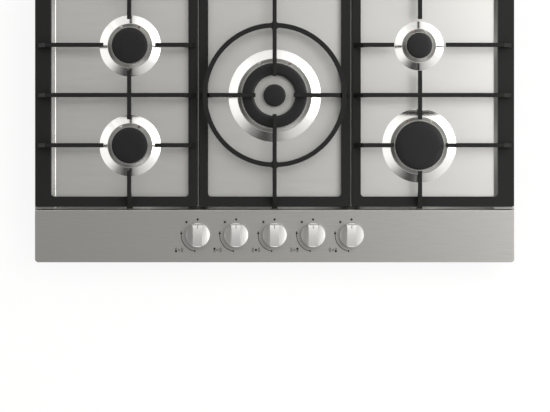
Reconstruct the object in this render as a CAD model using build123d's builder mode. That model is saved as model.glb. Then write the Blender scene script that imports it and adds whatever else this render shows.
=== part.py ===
"""Built-in five-burner gas cooktop, millimetres, +X right, +Y to the back, +Z up.

The origin is on the underside of the base tray, under the middle of the panel.
"""

from build123d import *
import os
from math import cos, hypot, radians, sin, sqrt

os.makedirs("parts", exist_ok=True)

# ---- Panel and box ----
PANEL_WIDTH = 860.0
PANEL_DEPTH = 510.0
PANEL_CORNER = 6.0
PANEL_EDGE_ROUND = 2.0
SHEET = 1.0
WORKTOP_Z = 52.0
LEDGE_RISE = 5.0
STRIP_STEP = 2.0
STRIP_DEPTH = 94.0
SKIRT_GAP = 0.5
BASIN_DEPTH = 6.0
BASIN_MARGIN = 30.5
BASIN_CORNER = 9.0
BASIN_FLOOR_ROUND = 2.0

RIM_OVERHANG = 17.0
TRAY_WIDTH = PANEL_WIDTH - 2 * RIM_OVERHANG
TRAY_DEPTH = PANEL_DEPTH - 2 * RIM_OVERHANG
TRAY_CORNER = 4.0
TRAY_RIDGE_X = 100.0
TRAY_RIDGE_LENGTH = 20.0
INLET_INSET = 53.0
RECESS_X = TRAY_WIDTH / 2 - INLET_INSET
RECESS_WIDTH = 60.0
RECESS_DEPTH = 34.0
SEAL_WIDTH = 9.0
SOFT_GAP = 0.3

# ---- Burners: place, cap radius, crown seat radius, pressed ring radius, flame ports ----
BURNER_X = 259.5
FRONT_BURNER_INSET = 209.5
REAR_BURNER_INSET = 121.5
FRONT_BURNER_Y = -PANEL_DEPTH / 2 + FRONT_BURNER_INSET
REAR_BURNER_Y = PANEL_DEPTH / 2 - REAR_BURNER_INSET
WOK_Y = (FRONT_BURNER_Y + REAR_BURNER_Y) / 2
BURNERS = {
    "front_left": (-BURNER_X, FRONT_BURNER_Y, 32.2, 39.5, 55.0, 30),
    "rear_left": (-BURNER_X, REAR_BURNER_Y, 32.2, 39.5, 55.0, 30),
    "rear_right": (BURNER_X, REAR_BURNER_Y, 23.0, 30.0, 44.0, 20),
    "front_right": (BURNER_X, FRONT_BURNER_Y, 43.5, 51.0, 66.5, 42),
}
WOK_CAP_RADIUS = 58.0
WOK_SEAT_RADIUS = 66.0
WOK_RING_RADIUS = 83.0
WOK_INNER_CAP_RADIUS = 20.0
WOK_CHANNEL = 24.0
WOK_PORT_COUNT = 54
WOK_INNER_PORT_COUNT = 18
RING_RISE = 5.0
CROWN_EDGE = 1.5
CROWN_SLOPE = 5.5
CROWN_HEIGHT = 14.0
CROWN_WALL = 4.0
CROWN_FLOOR_Z = 6.0
CROWN_FLOOR = 2.0
SKIRT_WALL = 2.5
MIXER_RADIUS = 9.0
MIXER_WALL = 2.0
MIXER_DEPTH = 14.0
WOK_MIXER_DEPTH = 4.0
PORT_WIDTH = 1.6
PORT_HEIGHT = 3.0
CAP_THICKNESS = 5.0
CAP_CHAMFER = 1.5
CAP_LIP = 2.5
CAP_LIP_WALL = 2.0
FIT_GAP = 0.3

CUP_HEIGHT = 31.0
CUP_WALL = 2.5
CUP_FLANGE = 2.5
CUP_STEP = 14.0
CUP_SPIGOT = 2.0
CUP_FLOOR = 6.0
INJECTOR_RADIUS = 4.0
INJECTOR_HEIGHT = 7.0
INJECTOR_JET = 0.5
ELECTRODE_ANGLE = 25.0
ELECTRODE_INSET = 2.4
ELECTRODE_RADIUS = 2.2
ELECTRODE_NOTCH = 3.4
ELECTRODE_PIN_RADIUS = 0.9
ELECTRODE_DROP = 16.0
ELECTRODE_STAND = 6.0
THERMOCOUPLE_RADIUS = 1.7
THERMOCOUPLE_DROP = 6.0
LEAD_END_DROP = 4.0
BURNER_SCREW_RADIUS = 2.0
BURNER_SCREW_INSET = 8.0
BURNER_SCREW_HEAD = 3.6
BURNER_SCREW_LENGTH = 8.0

# ---- Grates ----
GRATE_REAR_MARGIN = 8.0
GRATE_FRONT_Y = -PANEL_DEPTH / 2 + STRIP_DEPTH + STRIP_STEP
GRATE_REAR_Y = PANEL_DEPTH / 2 - GRATE_REAR_MARGIN
GRATE_CENTRE_WIDTH = 271.4
GRATE_GAP = 2.2
GRATE_SIDE_INSET = 0.8
GRATE_CLEARANCE = 1.5
FRAME_HEIGHT = 10.0
FRAME_BEVEL = 1.2
FRAME_SETBACK = 3.6
FRAME_CORNER = 4.0
FRAME_INNER_CORNER = 6.0
FRONT_BAR = 22.0
REAR_BAR = 22.0
OUTER_BAR = 28.7
INNER_BAR = 16.5
PAN_HEIGHT = 44.0
FINGER_WIDTH = 7.4
FINGER_DEPTH = 9.0
FINGER_TIP_DEPTH = 7.2
FINGER_EDGE = 0.8
FOOT_WIDTH = 12.0
FOOT_HEIGHT = 4.0
FOOT_FLARE = 8.0
LEG_RUN = 20.0
FINGER_TIP_RADIUS = 46.0
WOK_TIP_RADIUS = 34.0
WOK_RING_CENTRELINE = 124.5
WOK_RING_WIDTH = 8.4
CROSSING_FILLET = 4.0
PAD_RADIUS = 5.0
PAD_HEIGHT = 1.5
PAD_INSET = 11.0

# ---- Knobs and taps ----
KNOB_COUNT = 5
KNOB_PITCH = 69.0
KNOB_INSET = 49.0
KNOB_Y = -PANEL_DEPTH / 2 + KNOB_INSET
KNOB_RADIUS = 21.6
KNOB_RIM = 7.0
KNOB_HEIGHT = 18.0
KNOB_BAR_WIDTH = 15.8
KNOB_BAR_INSET = 4.2
KNOB_BAR_FOOT = 1.2
KNOB_CROWN = 1.4
KNOB_FLANK_RUN = 6.0
KNOB_FLANK_RISE = 5.4
KNOB_RIM_FALL = 0.4
KNOB_WALL = 2.5
KNOB_BOSS_RADIUS = 6.5
KNOB_BOSS_LIFT = 1.6
KNOB_POINTER_LENGTH = 6.0
KNOB_POINTER_WIDTH = 0.9
KNOB_POINTER_DEPTH = 1.1
PRESS_TRAVEL = 3.0
PRESS_CLEARANCE = 0.8
KNOB_REST_GAP = PRESS_TRAVEL + PRESS_CLEARANCE
SHAFT_RADIUS = 4.0
SHAFT_FLAT = 1.0
SHAFT_GRIP = 8.0
RUNNING_GAP = 0.05
GASKET_RADIUS = 9.5
GASKET_HOLE_RADIUS = 7.0
GASKET_THICKNESS = 1.3

RAIL_Z = 15.0
RAIL_RADIUS = 7.0
RAIL_WALL = 1.5
RAIL_BEND = 22.0
RAIL_OVERRUN = 22.0
RAIL_SADDLE_WIDTH = 11.2
TAP_WIDTH = 24.0
TAP_DEPTH = 30.0
TAP_HEIGHT = 26.0
TAP_NECK_RADIUS = 9.0
TAP_NECK_HEIGHT = 8.0
TAP_NECK_WALL = 2.0
CONE_RADIUS = 6.5
CONE_TAPER = 1.2
CONE_HEIGHT = 18.0
CHAMBER_RADIUS = 6.5
BLADE_WIDTH = 7.0
BLADE_THICKNESS = 1.8
SLOT_GAP = 0.1
SLOT_DEPTH = 9.0
BLADE_REACH = 5.0
COLLAR_RADIUS = 5.6
COLLAR_HEIGHT = 1.2
SPRING_WIRE = 0.9
SPRING_RADIUS = 4.7
SPRING_TURNS = 3
VALVE_RADIUS = 6.0
VALVE_LENGTH = 18.0
VALVE_DROP = 8.0
SWITCH_SIZE = 26.0
SWITCH_HEIGHT = 6.0
MOULDED_CORNER = 3.0
OUTLET_RISE = 6.0

PIPE_RADIUS = 4.0
PIPE_WALL = 1.0
PIPE_BEND = 16.0
PIPE_START = 24.0
FRONT_PIPE_SLANT = 50.0
REAR_PIPE_SLANT = 76.0
REAR_PIPE_TURN = 90.0
REAR_PIPE_END = 30.0
LEAD_RADIUS = 1.0
WIRE_RADIUS = 1.4
WIRE_STEP = 3.4
WIRE_BEND = 7.2
LEAD_BEND = 3.6
WIRE_PORT_PITCH = 9.0
WIRE_LANE_START = 24.0
WIRE_LANE_PITCH = 5.0
WIRE_TURN = 16.0
LEAD_LANE = 12.0
WOK_LEAD_LANE = 22.0
FRONT_LEAD_SLANT = 60.0
REAR_LEAD_SLANT = 90.0

INLET_RADIUS = 10.48
INLET_NECK_RADIUS = 10.0
INLET_LENGTH = 18.0
INLET_BORE = 7.5
INLET_NUT_RADIUS = 13.5
INLET_NUT_LENGTH = 9.0
WASHER_THICKNESS = 2.0
WASHER_RADIUS = 13.0

GENERATOR_INSET = 63.0
GENERATOR_X = -TRAY_WIDTH / 2 + GENERATOR_INSET
GENERATOR_Y = WOK_Y
GENERATOR_SIZE = (44.0, 74.0, 24.0)
TERMINAL_INSET = 113.0
TERMINAL_X = -TRAY_WIDTH / 2 + TERMINAL_INSET
TERMINAL_SIZE = (56.0, 30.0, 24.0)
GLAND_RADIUS = 6.0
GLAND_BORE = 3.4
GLAND_LENGTH = 12.0

SCREW_RADIUS = 2.0
SCREW_HEAD_RADIUS = 3.8
SCREW_HEAD_HEIGHT = 2.4
SCREW_LENGTH = 8.0
HOLE_GAP = 0.25
BRACKET_WIDTH = 20.0
BRACKET_THICKNESS = 1.5
BRACKET_REACH = 9.0
BRACKET_HEIGHT = 14.0
CLAMP_X_REACH = 14.0
CLAMP_Z = 14.0
CLAMP_WIDTH = 18.0
CLAMP_HEIGHT = 16.0
CLAMP_SCREW_RADIUS = 2.5
CLAMP_SCREW_LENGTH = 14.0
CLAMP_Y = 150.0
BRACKET_Y = 95.0
HOLE_SHARE = 0.6
CLAMP_HEX_RADIUS = 4.25
SCREW_SLOT_WIDTH = 0.8
BURNER_SLOT_LENGTH = 4.4

# ---- Levels and places worked out from the sizes above ----
LEDGE_Z = WORKTOP_Z + LEDGE_RISE
STRIP_Z = LEDGE_Z + STRIP_STEP
SKIRT_Z = WORKTOP_Z + SKIRT_GAP
FLOOR_Z = LEDGE_Z - BASIN_DEPTH
SEAT_Z = FLOOR_Z + RING_RISE
PAN_Z = WORKTOP_Z + PAN_HEIGHT
STRIP_REAR_Y = -PANEL_DEPTH / 2 + STRIP_DEPTH
BASIN_FRONT_Y = STRIP_REAR_Y + STRIP_STEP
BASIN_REAR_Y = PANEL_DEPTH / 2 - BASIN_MARGIN
BASIN_HALF_X = PANEL_WIDTH / 2 - BASIN_MARGIN
FRAME_Z = LEDGE_Z + GRATE_CLEARANCE
KNOB_X = [(i - (KNOB_COUNT - 1) / 2) * KNOB_PITCH for i in range(KNOB_COUNT)]
KNOB_Z = STRIP_Z + KNOB_REST_GAP
TAP_Z = RAIL_Z + RAIL_RADIUS
TAP_TOP_Z = TAP_Z + TAP_HEIGHT
NECK_TOP_Z = TAP_TOP_Z + TAP_NECK_HEIGHT
CONE_Z = TAP_TOP_Z - CONE_HEIGHT
TRAY_INNER_X = TRAY_WIDTH / 2 - SHEET
TRAY_REAR_Y = TRAY_DEPTH / 2
RECESS_Y = TRAY_REAR_Y - RECESS_DEPTH
CUP_Z = SEAT_Z - SHEET - CUP_HEIGHT
PIPE_Z = TAP_Z + OUTLET_RISE
UP = (0, 0, 1)


def save(builder, name):
    """Labels a finished sub-part and writes it as its own file."""
    builder.part.label = name
    export_step(builder.part, "parts/" + name + ".step")


def side_plane(x, y, dx, dy):
    """An upright plane through (x, y): its local X runs along (dx, dy), its local Y up."""
    return Plane(origin=(x, y, 0), x_dir=(dx, dy, 0), z_dir=(dy, -dx, 0))


def ring_place(x, y, radius, angle):
    """The point at an angle in degrees on a circle round (x, y)."""
    return (x + radius * cos(radians(angle)), y + radius * sin(radians(angle)))


# ---- Top panel ----
def panel_envelope(inset):
    """The panel's outer form, moved inwards by inset on every side but the open underside."""
    width = PANEL_WIDTH - 2 * inset
    depth = PANEL_DEPTH - 2 * inset
    top = STRIP_Z - inset
    ledge = LEDGE_Z - inset
    step_y = STRIP_REAR_Y - inset * (sqrt(2) - 1)
    with BuildPart() as envelope:
        with BuildSketch(Plane.XY.offset(SKIRT_Z)):
            RectangleRounded(width, depth, PANEL_CORNER - inset)
        extrude(amount=top - SKIRT_Z)
        with BuildSketch(Plane.YZ):
            with BuildLine():
                Polyline(
                    (step_y, top),
                    (step_y + STRIP_STEP, ledge),
                    (PANEL_DEPTH, ledge),
                    (PANEL_DEPTH, top + STRIP_STEP),
                    (step_y, top + STRIP_STEP),
                    close=True,
                )
            make_face()
        extrude(amount=PANEL_WIDTH, both=True, mode=Mode.SUBTRACT)
    return envelope


def basin_form(outset):
    """The sloped-wall pocket of the basin, outset for the sheet's underside."""
    grow = outset * sqrt(2)
    width = 2 * (BASIN_HALF_X + grow)
    depth = BASIN_REAR_Y - BASIN_FRONT_Y + 2 * grow
    middle_y = (BASIN_REAR_Y + BASIN_FRONT_Y) / 2
    with BuildPart() as basin:
        with BuildSketch(Plane.XY.offset(LEDGE_Z)):
            with Locations((0, middle_y)):
                RectangleRounded(width, depth, BASIN_CORNER + grow)
        extrude(amount=-(BASIN_DEPTH + outset), taper=45)
        fillet(basin.faces().sort_by(Axis.Z)[0].edges(), BASIN_FLOOR_ROUND)
    return basin


def burner_rings():
    """Place, seat radius and ring radius of every burner, the wok burner last."""
    rings = [(b[0], b[1], b[3], b[4]) for b in BURNERS.values()]
    rings.append((0.0, WOK_Y, WOK_SEAT_RADIUS, WOK_RING_RADIUS))
    return rings


def electrode_place(x, y, seat_radius):
    """The spark electrode stands behind the crown, on the side away from the middle."""
    angle = 90 + ELECTRODE_ANGLE if x <= 0 else 90 - ELECTRODE_ANGLE
    return ring_place(x, y, seat_radius - ELECTRODE_INSET, angle)


def thermocouple_place(x, y, seat_radius):
    """The thermocouple stands behind the crown, on the side towards the middle."""
    angle = 90 - ELECTRODE_ANGLE if x <= 0 else 90 + ELECTRODE_ANGLE
    return ring_place(x, y, seat_radius - ELECTRODE_INSET, angle)


def screw_places(x, y, seat_radius):
    """Two screws hold each burner cup, left and right of its middle."""
    reach = seat_radius - BURNER_SCREW_INSET
    return [(x - reach, y), (x + reach, y)]


outer_form = panel_envelope(0)
fillet(
    outer_form.edges().filter_by(Axis.X).group_by(Axis.Y)[0].sort_by(Axis.Z)[-1:],
    PANEL_EDGE_ROUND,
)
inner_form = panel_envelope(SHEET)
basin_outside = basin_form(SHEET)
basin_inside = basin_form(0)

with BuildPart() as top_panel:
    add(outer_form.part)
    add(inner_form.part, mode=Mode.SUBTRACT)
    add(basin_outside.part)
    add(basin_inside.part, mode=Mode.SUBTRACT)
    for x, y, seat, ring in burner_rings():
        with Locations((x, y, FLOOR_Z)):
            Cone(ring, seat + SHEET, RING_RISE, align=(Align.CENTER, Align.CENTER, Align.MIN))
        with Locations((x, y, FLOOR_Z - SHEET)):
            Cone(
                ring - SHEET / 2,
                seat + SHEET / 2,
                RING_RISE,
                align=(Align.CENTER, Align.CENTER, Align.MIN),
                mode=Mode.SUBTRACT,
            )
        with BuildSketch(Plane.XY.offset(SEAT_Z - SHEET)):
            with Locations((x, y)):
                Circle(seat - CUP_STEP + FIT_GAP)
            with Locations(electrode_place(x, y, seat), thermocouple_place(x, y, seat)):
                Circle(ELECTRODE_RADIUS + FIT_GAP)
            with Locations(*screw_places(x, y, seat)):
                Circle(BURNER_SCREW_RADIUS + HOLE_GAP)
        extrude(amount=SHEET, mode=Mode.SUBTRACT)
    with BuildSketch(Plane.XY.offset(STRIP_Z - SHEET)):
        with Locations(*[(x, KNOB_Y) for x in KNOB_X]):
            Circle(GASKET_HOLE_RADIUS)
    extrude(amount=SHEET, mode=Mode.SUBTRACT)
save(top_panel, "top_panel")

# ---- Base tray ----
SIDE_HOLE_Z = LEDGE_Z - SHEET - BRACKET_HEIGHT * HOLE_SHARE
CLAMP_HOLE_Z = CLAMP_Z + CLAMP_HEIGHT * HOLE_SHARE
CLAMP_PLACES = [(side, y) for side in (-1, 1) for y in (-CLAMP_Y, CLAMP_Y)]
BRACKET_PLACES = [(side, y) for side in (-1, 1) for y in (-BRACKET_Y, BRACKET_Y)]


def tray_plan(inset):
    """The tray's outline seen from above, with the notch for the gas inlet."""
    with Locations((0, 0)):
        RectangleRounded(TRAY_WIDTH - 2 * inset, TRAY_DEPTH - 2 * inset, TRAY_CORNER - inset)
    with Locations((RECESS_X, TRAY_REAR_Y - RECESS_DEPTH / 2)):
        Rectangle(RECESS_WIDTH + 2 * inset, RECESS_DEPTH + 2 * inset, mode=Mode.SUBTRACT)


with BuildPart() as base_tray:
    with BuildSketch(Plane.XY):
        tray_plan(0)
    extrude(amount=LEDGE_Z - SHEET)
    with BuildSketch(Plane.XY.offset(LEDGE_Z - SHEET)):
        with Locations((0, (STRIP_REAR_Y - SHEET - TRAY_DEPTH / 2) / 2)):
            Rectangle(TRAY_WIDTH - 2 * TRAY_CORNER, TRAY_DEPTH / 2 + STRIP_REAR_Y - SHEET)
    extrude(amount=STRIP_STEP)
    with BuildSketch(Plane.XY.offset(SHEET)):
        tray_plan(SHEET)
    extrude(amount=STRIP_Z, mode=Mode.SUBTRACT)
    with BuildSketch(Plane.XY.offset(FLOOR_Z - SHEET)):
        with Locations((0, (BASIN_REAR_Y + BASIN_FRONT_Y) / 2)):
            Rectangle(
                2 * BASIN_HALF_X + 4 * SHEET, BASIN_REAR_Y - BASIN_FRONT_Y + 4 * SHEET
            )
    extrude(amount=BASIN_DEPTH + 2 * SHEET, mode=Mode.SUBTRACT)
    with Locations(*[(x, KNOB_Y, SHEET) for x in (-TRAY_RIDGE_X, TRAY_RIDGE_X)]):
        Box(
            TRAY_RIDGE_LENGTH,
            RAIL_RADIUS * 2,
            RAIL_Z - RAIL_RADIUS - SHEET,
            align=(Align.CENTER, Align.CENTER, Align.MIN),
        )
    with BuildSketch(Plane.YZ.offset(-TRAY_WIDTH / 2)):
        with Locations(*[(y, SIDE_HOLE_Z) for side, y in BRACKET_PLACES[:2]]):
            Circle(SCREW_RADIUS + HOLE_GAP)
        with Locations(*[(y, CLAMP_HOLE_Z) for side, y in CLAMP_PLACES[:2]]):
            Circle(SCREW_RADIUS + HOLE_GAP)
    extrude(amount=TRAY_WIDTH, mode=Mode.SUBTRACT)
    with BuildSketch(Plane.XZ.offset(-RECESS_Y)):
        with Locations((RECESS_X, RAIL_Z)):
            Circle(INLET_NECK_RADIUS + HOLE_GAP)
    extrude(amount=SHEET * 2, both=True, mode=Mode.SUBTRACT)
    with BuildSketch(Plane.XZ.offset(-TRAY_REAR_Y)):
        with Locations((TERMINAL_X, SHEET + TERMINAL_SIZE[2] / 2)):
            Circle(GLAND_RADIUS + HOLE_GAP)
    extrude(amount=SHEET * 2, both=True, mode=Mode.SUBTRACT)
save(base_tray, "base_tray")

# ---- Seal under the panel's rim ----
SEAL_OUTER_WIDTH = PANEL_WIDTH - 2 * (SHEET + SOFT_GAP)
SEAL_OUTER_DEPTH = PANEL_DEPTH - 2 * (SHEET + SOFT_GAP)
with BuildPart() as worktop_seal:
    with BuildSketch(Plane.XY.offset(WORKTOP_Z)):
        RectangleRounded(SEAL_OUTER_WIDTH, SEAL_OUTER_DEPTH, PANEL_CORNER - SHEET - SOFT_GAP)
        Rectangle(
            SEAL_OUTER_WIDTH - 2 * SEAL_WIDTH,
            SEAL_OUTER_DEPTH - 2 * SEAL_WIDTH,
            mode=Mode.SUBTRACT,
        )
    extrude(amount=LEDGE_RISE - SHEET - SOFT_GAP)
save(worktop_seal, "worktop_seal")

# ---- Brackets, clamps and screws on the two sides ----
with BuildPart() as panel_brackets:
    for side, y in BRACKET_PLACES:
        with BuildSketch(side_plane(0, y, side, 0)):
            with BuildLine():
                Polyline(
                    (TRAY_INNER_X, LEDGE_Z - SHEET),
                    (TRAY_INNER_X, LEDGE_Z - SHEET - BRACKET_HEIGHT),
                    (TRAY_INNER_X - BRACKET_THICKNESS, LEDGE_Z - SHEET - BRACKET_HEIGHT),
                    (TRAY_INNER_X - BRACKET_THICKNESS, LEDGE_Z - SHEET - BRACKET_THICKNESS),
                    (TRAY_INNER_X - BRACKET_REACH, LEDGE_Z - SHEET - BRACKET_THICKNESS),
                    (TRAY_INNER_X - BRACKET_REACH, LEDGE_Z - SHEET),
                    close=True,
                )
            make_face()
        extrude(amount=BRACKET_WIDTH / 2, both=True)
        with BuildSketch(Plane.YZ):
            with Locations((y, SIDE_HOLE_Z)):
                Circle(SCREW_RADIUS + HOLE_GAP)
        extrude(amount=side * TRAY_WIDTH, mode=Mode.SUBTRACT)
save(panel_brackets, "panel_brackets")

with BuildPart() as worktop_clamps:
    for side, y in CLAMP_PLACES:
        with BuildSketch(side_plane(0, y, side, 0)):
            with BuildLine():
                Polyline(
                    (TRAY_WIDTH / 2, CLAMP_Z),
                    (TRAY_WIDTH / 2 + CLAMP_X_REACH, CLAMP_Z),
                    (TRAY_WIDTH / 2 + CLAMP_X_REACH, CLAMP_Z + BRACKET_THICKNESS),
                    (TRAY_WIDTH / 2 + BRACKET_THICKNESS, CLAMP_Z + BRACKET_THICKNESS),
                    (TRAY_WIDTH / 2 + BRACKET_THICKNESS, CLAMP_Z + CLAMP_HEIGHT),
                    (TRAY_WIDTH / 2, CLAMP_Z + CLAMP_HEIGHT),
                    close=True,
                )
            make_face()
        extrude(amount=CLAMP_WIDTH / 2, both=True)
        with BuildSketch(Plane.YZ.offset(side * TRAY_WIDTH / 2)):
            with Locations((y, CLAMP_HOLE_Z)):
                Circle(SCREW_RADIUS + HOLE_GAP)
        extrude(amount=side * BRACKET_THICKNESS, mode=Mode.SUBTRACT)
        with BuildSketch(Plane.XY.offset(CLAMP_Z)):
            with Locations((side * (TRAY_WIDTH / 2 + CLAMP_X_REACH * HOLE_SHARE), y)):
                Circle(CLAMP_SCREW_RADIUS)
        extrude(amount=BRACKET_THICKNESS, mode=Mode.SUBTRACT)
save(worktop_clamps, "worktop_clamps")

with BuildPart() as clamp_screws:
    for side, y in CLAMP_PLACES:
        centre = (side * (TRAY_WIDTH / 2 + CLAMP_X_REACH * HOLE_SHARE), y)
        with BuildSketch(Plane.XY.offset(CLAMP_Z - CLAMP_SCREW_RADIUS)):
            with Locations(centre):
                RegularPolygon(CLAMP_HEX_RADIUS, 6)
        extrude(amount=CLAMP_SCREW_RADIUS)
        with BuildSketch(Plane.XY.offset(CLAMP_Z)):
            with Locations(centre):
                Circle(CLAMP_SCREW_RADIUS)
        extrude(amount=CLAMP_SCREW_LENGTH)
save(clamp_screws, "clamp_screws")

with BuildPart() as casing_screws:
    for side, y, z, seat_x in (
        [(s, y, SIDE_HOLE_Z, TRAY_WIDTH / 2) for s, y in BRACKET_PLACES]
        + [(s, y, CLAMP_HOLE_Z, TRAY_WIDTH / 2 + BRACKET_THICKNESS) for s, y in CLAMP_PLACES]
    ):
        with BuildSketch(Plane.YZ.offset(side * seat_x)):
            with Locations((y, z)):
                Circle(SCREW_HEAD_RADIUS)
        extrude(amount=side * SCREW_HEAD_HEIGHT)
        with BuildSketch(Plane.YZ.offset(side * (seat_x - SCREW_LENGTH))):
            with Locations((y, z)):
                Circle(SCREW_RADIUS)
        extrude(amount=side * SCREW_LENGTH)
        with BuildSketch(Plane.YZ.offset(side * (seat_x + SCREW_HEAD_HEIGHT))):
            with Locations((y, z)):
                Rectangle(SCREW_HEAD_RADIUS, SCREW_SLOT_WIDTH)
                Rectangle(SCREW_SLOT_WIDTH, SCREW_HEAD_RADIUS)
        extrude(amount=-side * SCREW_HEAD_HEIGHT / 2, mode=Mode.SUBTRACT)
save(casing_screws, "casing_screws")


# ---- Burners ----
def crown_wall_radius(seat_radius):
    """The crown's upright wall stands inside its sloped skirt."""
    return seat_radius - CROWN_SLOPE


def turned(points):
    """A closed outline of radius and height, turned round the middle line."""
    with BuildSketch(Plane.XZ) as outline:
        with BuildLine():
            Polyline(*points, close=True)
        make_face()
    revolve(outline.sketch, axis=Axis.Z)


def cut_ports(count, radius, top):
    """Cuts flame ports across the crown's wall, open at its top."""
    with Locations((0, 0, top - PORT_HEIGHT / 2)):
        with PolarLocations(radius - CROWN_WALL / 2, count):
            Box(CROWN_WALL * 2, PORT_WIDTH, PORT_HEIGHT, mode=Mode.SUBTRACT)


def cut_notches(x, y, seat_radius, bottom):
    """Clears the crown's skirt round the electrode and the thermocouple."""
    places = [electrode_place(x, y, seat_radius), thermocouple_place(x, y, seat_radius)]
    with Locations(*[(px - x, py - y, bottom) for px, py in places]):
        Cylinder(
            ELECTRODE_NOTCH,
            CROWN_SLOPE + CROWN_EDGE,
            align=(Align.CENTER, Align.CENTER, Align.MIN),
            mode=Mode.SUBTRACT,
        )


def build_crown(x, y, seat_radius, ports):
    """An aluminium crown: skirt, ported wall, floor and the mixing tube under it."""
    wall = crown_wall_radius(seat_radius)
    with BuildPart() as crown:
        turned(
            [
                (MIXER_RADIUS, -MIXER_DEPTH),
                (MIXER_RADIUS + MIXER_WALL, -MIXER_DEPTH),
                (MIXER_RADIUS + MIXER_WALL, CROWN_FLOOR_Z),
                (wall - SKIRT_WALL, CROWN_FLOOR_Z),
                (seat_radius - SKIRT_WALL, CROWN_EDGE),
                (seat_radius - SKIRT_WALL, 0),
                (seat_radius, 0),
                (seat_radius, CROWN_EDGE),
                (wall, CROWN_EDGE + CROWN_SLOPE),
                (wall, CROWN_HEIGHT),
                (wall - CROWN_WALL, CROWN_HEIGHT),
                (wall - CROWN_WALL, CROWN_FLOOR_Z + CROWN_FLOOR),
                (MIXER_RADIUS, CROWN_FLOOR_Z + CROWN_FLOOR),
            ]
        )
        cut_ports(ports, wall, CROWN_HEIGHT)
        cut_notches(x, y, seat_radius, 0)
    return crown


def build_cap(radius, lip_radius, hole_radius=0.0):
    """A flat enamelled cap with a chamfered rim and a locating lip under it."""
    with BuildPart() as cap:
        Cylinder(radius, CAP_THICKNESS, align=(Align.CENTER, Align.CENTER, Align.MIN))
        chamfer(cap.faces().sort_by(Axis.Z)[-1].edges(), CAP_CHAMFER)
        with BuildSketch(Plane.XY):
            Circle(lip_radius)
            Circle(lip_radius - CAP_LIP_WALL, mode=Mode.SUBTRACT)
        extrude(amount=-CAP_LIP)
        if hole_radius > 0:
            with BuildSketch(Plane.XY.offset(-CAP_LIP)):
                Circle(hole_radius)
            extrude(amount=CAP_LIP + CAP_THICKNESS, mode=Mode.SUBTRACT)
            top_rim = cap.faces().sort_by(Axis.Z)[-1].edges().sort_by(SortBy.LENGTH)[0]
            chamfer(top_rim, CAP_CHAMFER)
    return cap


def placed(builder, x, y, z, name):
    """Moves a piece built on the middle line to its burner and writes it."""
    with BuildPart() as piece:
        with Locations((x, y, z)):
            add(builder.part)
    save(piece, name)
    return piece


for place, (x, y, cap_radius, seat, ring, ports) in BURNERS.items():
    placed(build_crown(x, y, seat, ports), x, y, SEAT_Z, "burner_crown_" + place)
    lip = crown_wall_radius(seat) - CROWN_WALL - FIT_GAP
    cap = build_cap(cap_radius, lip)
    placed(cap, x, y, SEAT_Z + CROWN_HEIGHT, "burner_cap_" + place)

WOK_WALL = crown_wall_radius(WOK_SEAT_RADIUS)
WOK_INNER_WALL = WOK_INNER_CAP_RADIUS + FIT_GAP
WOK_TROUGH_WALL = WOK_WALL - WOK_CHANNEL
with BuildPart() as wok_crown:
    turned(
        [
            (MIXER_RADIUS, -WOK_MIXER_DEPTH),
            (MIXER_RADIUS + MIXER_WALL, -WOK_MIXER_DEPTH),
            (MIXER_RADIUS + MIXER_WALL, CROWN_FLOOR_Z),
            (WOK_WALL - SKIRT_WALL, CROWN_FLOOR_Z),
            (WOK_SEAT_RADIUS - SKIRT_WALL, CROWN_EDGE),
            (WOK_SEAT_RADIUS - SKIRT_WALL, 0),
            (WOK_SEAT_RADIUS, 0),
            (WOK_SEAT_RADIUS, CROWN_EDGE),
            (WOK_WALL, CROWN_EDGE + CROWN_SLOPE),
            (WOK_WALL, CROWN_HEIGHT),
            (WOK_WALL - CROWN_WALL, CROWN_HEIGHT),
            (WOK_WALL - CROWN_WALL, CROWN_FLOOR_Z + CROWN_FLOOR),
            (WOK_TROUGH_WALL + CROWN_WALL, CROWN_FLOOR_Z + CROWN_FLOOR),
            (WOK_TROUGH_WALL + CROWN_WALL, CROWN_HEIGHT),
            (WOK_TROUGH_WALL, CROWN_HEIGHT),
            (WOK_TROUGH_WALL, CROWN_FLOOR_Z + CROWN_FLOOR),
            (WOK_INNER_WALL, CROWN_FLOOR_Z + CROWN_FLOOR),
            (WOK_INNER_WALL, CROWN_HEIGHT),
            (WOK_INNER_WALL - CROWN_WALL, CROWN_HEIGHT),
            (WOK_INNER_WALL - CROWN_WALL, CROWN_FLOOR_Z + CROWN_FLOOR),
            (MIXER_RADIUS, CROWN_FLOOR_Z + CROWN_FLOOR),
        ]
    )
    cut_ports(WOK_PORT_COUNT, WOK_WALL, CROWN_HEIGHT)
    cut_ports(WOK_INNER_PORT_COUNT, WOK_INNER_WALL, CROWN_HEIGHT)
    cut_notches(0, WOK_Y, WOK_SEAT_RADIUS, 0)
placed(wok_crown, 0, WOK_Y, SEAT_Z, "burner_crown_wok")
wok_ring_cap = build_cap(
    WOK_CAP_RADIUS,
    WOK_WALL - CROWN_WALL - FIT_GAP,
    WOK_TROUGH_WALL,
)
placed(wok_ring_cap, 0, WOK_Y, SEAT_Z + CROWN_HEIGHT, "burner_cap_wok")
wok_inner_cap = build_cap(WOK_INNER_CAP_RADIUS, WOK_INNER_WALL - CROWN_WALL - FIT_GAP)
placed(wok_inner_cap, 0, WOK_Y, SEAT_Z + CROWN_HEIGHT, "wok_inner_cap")

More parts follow.
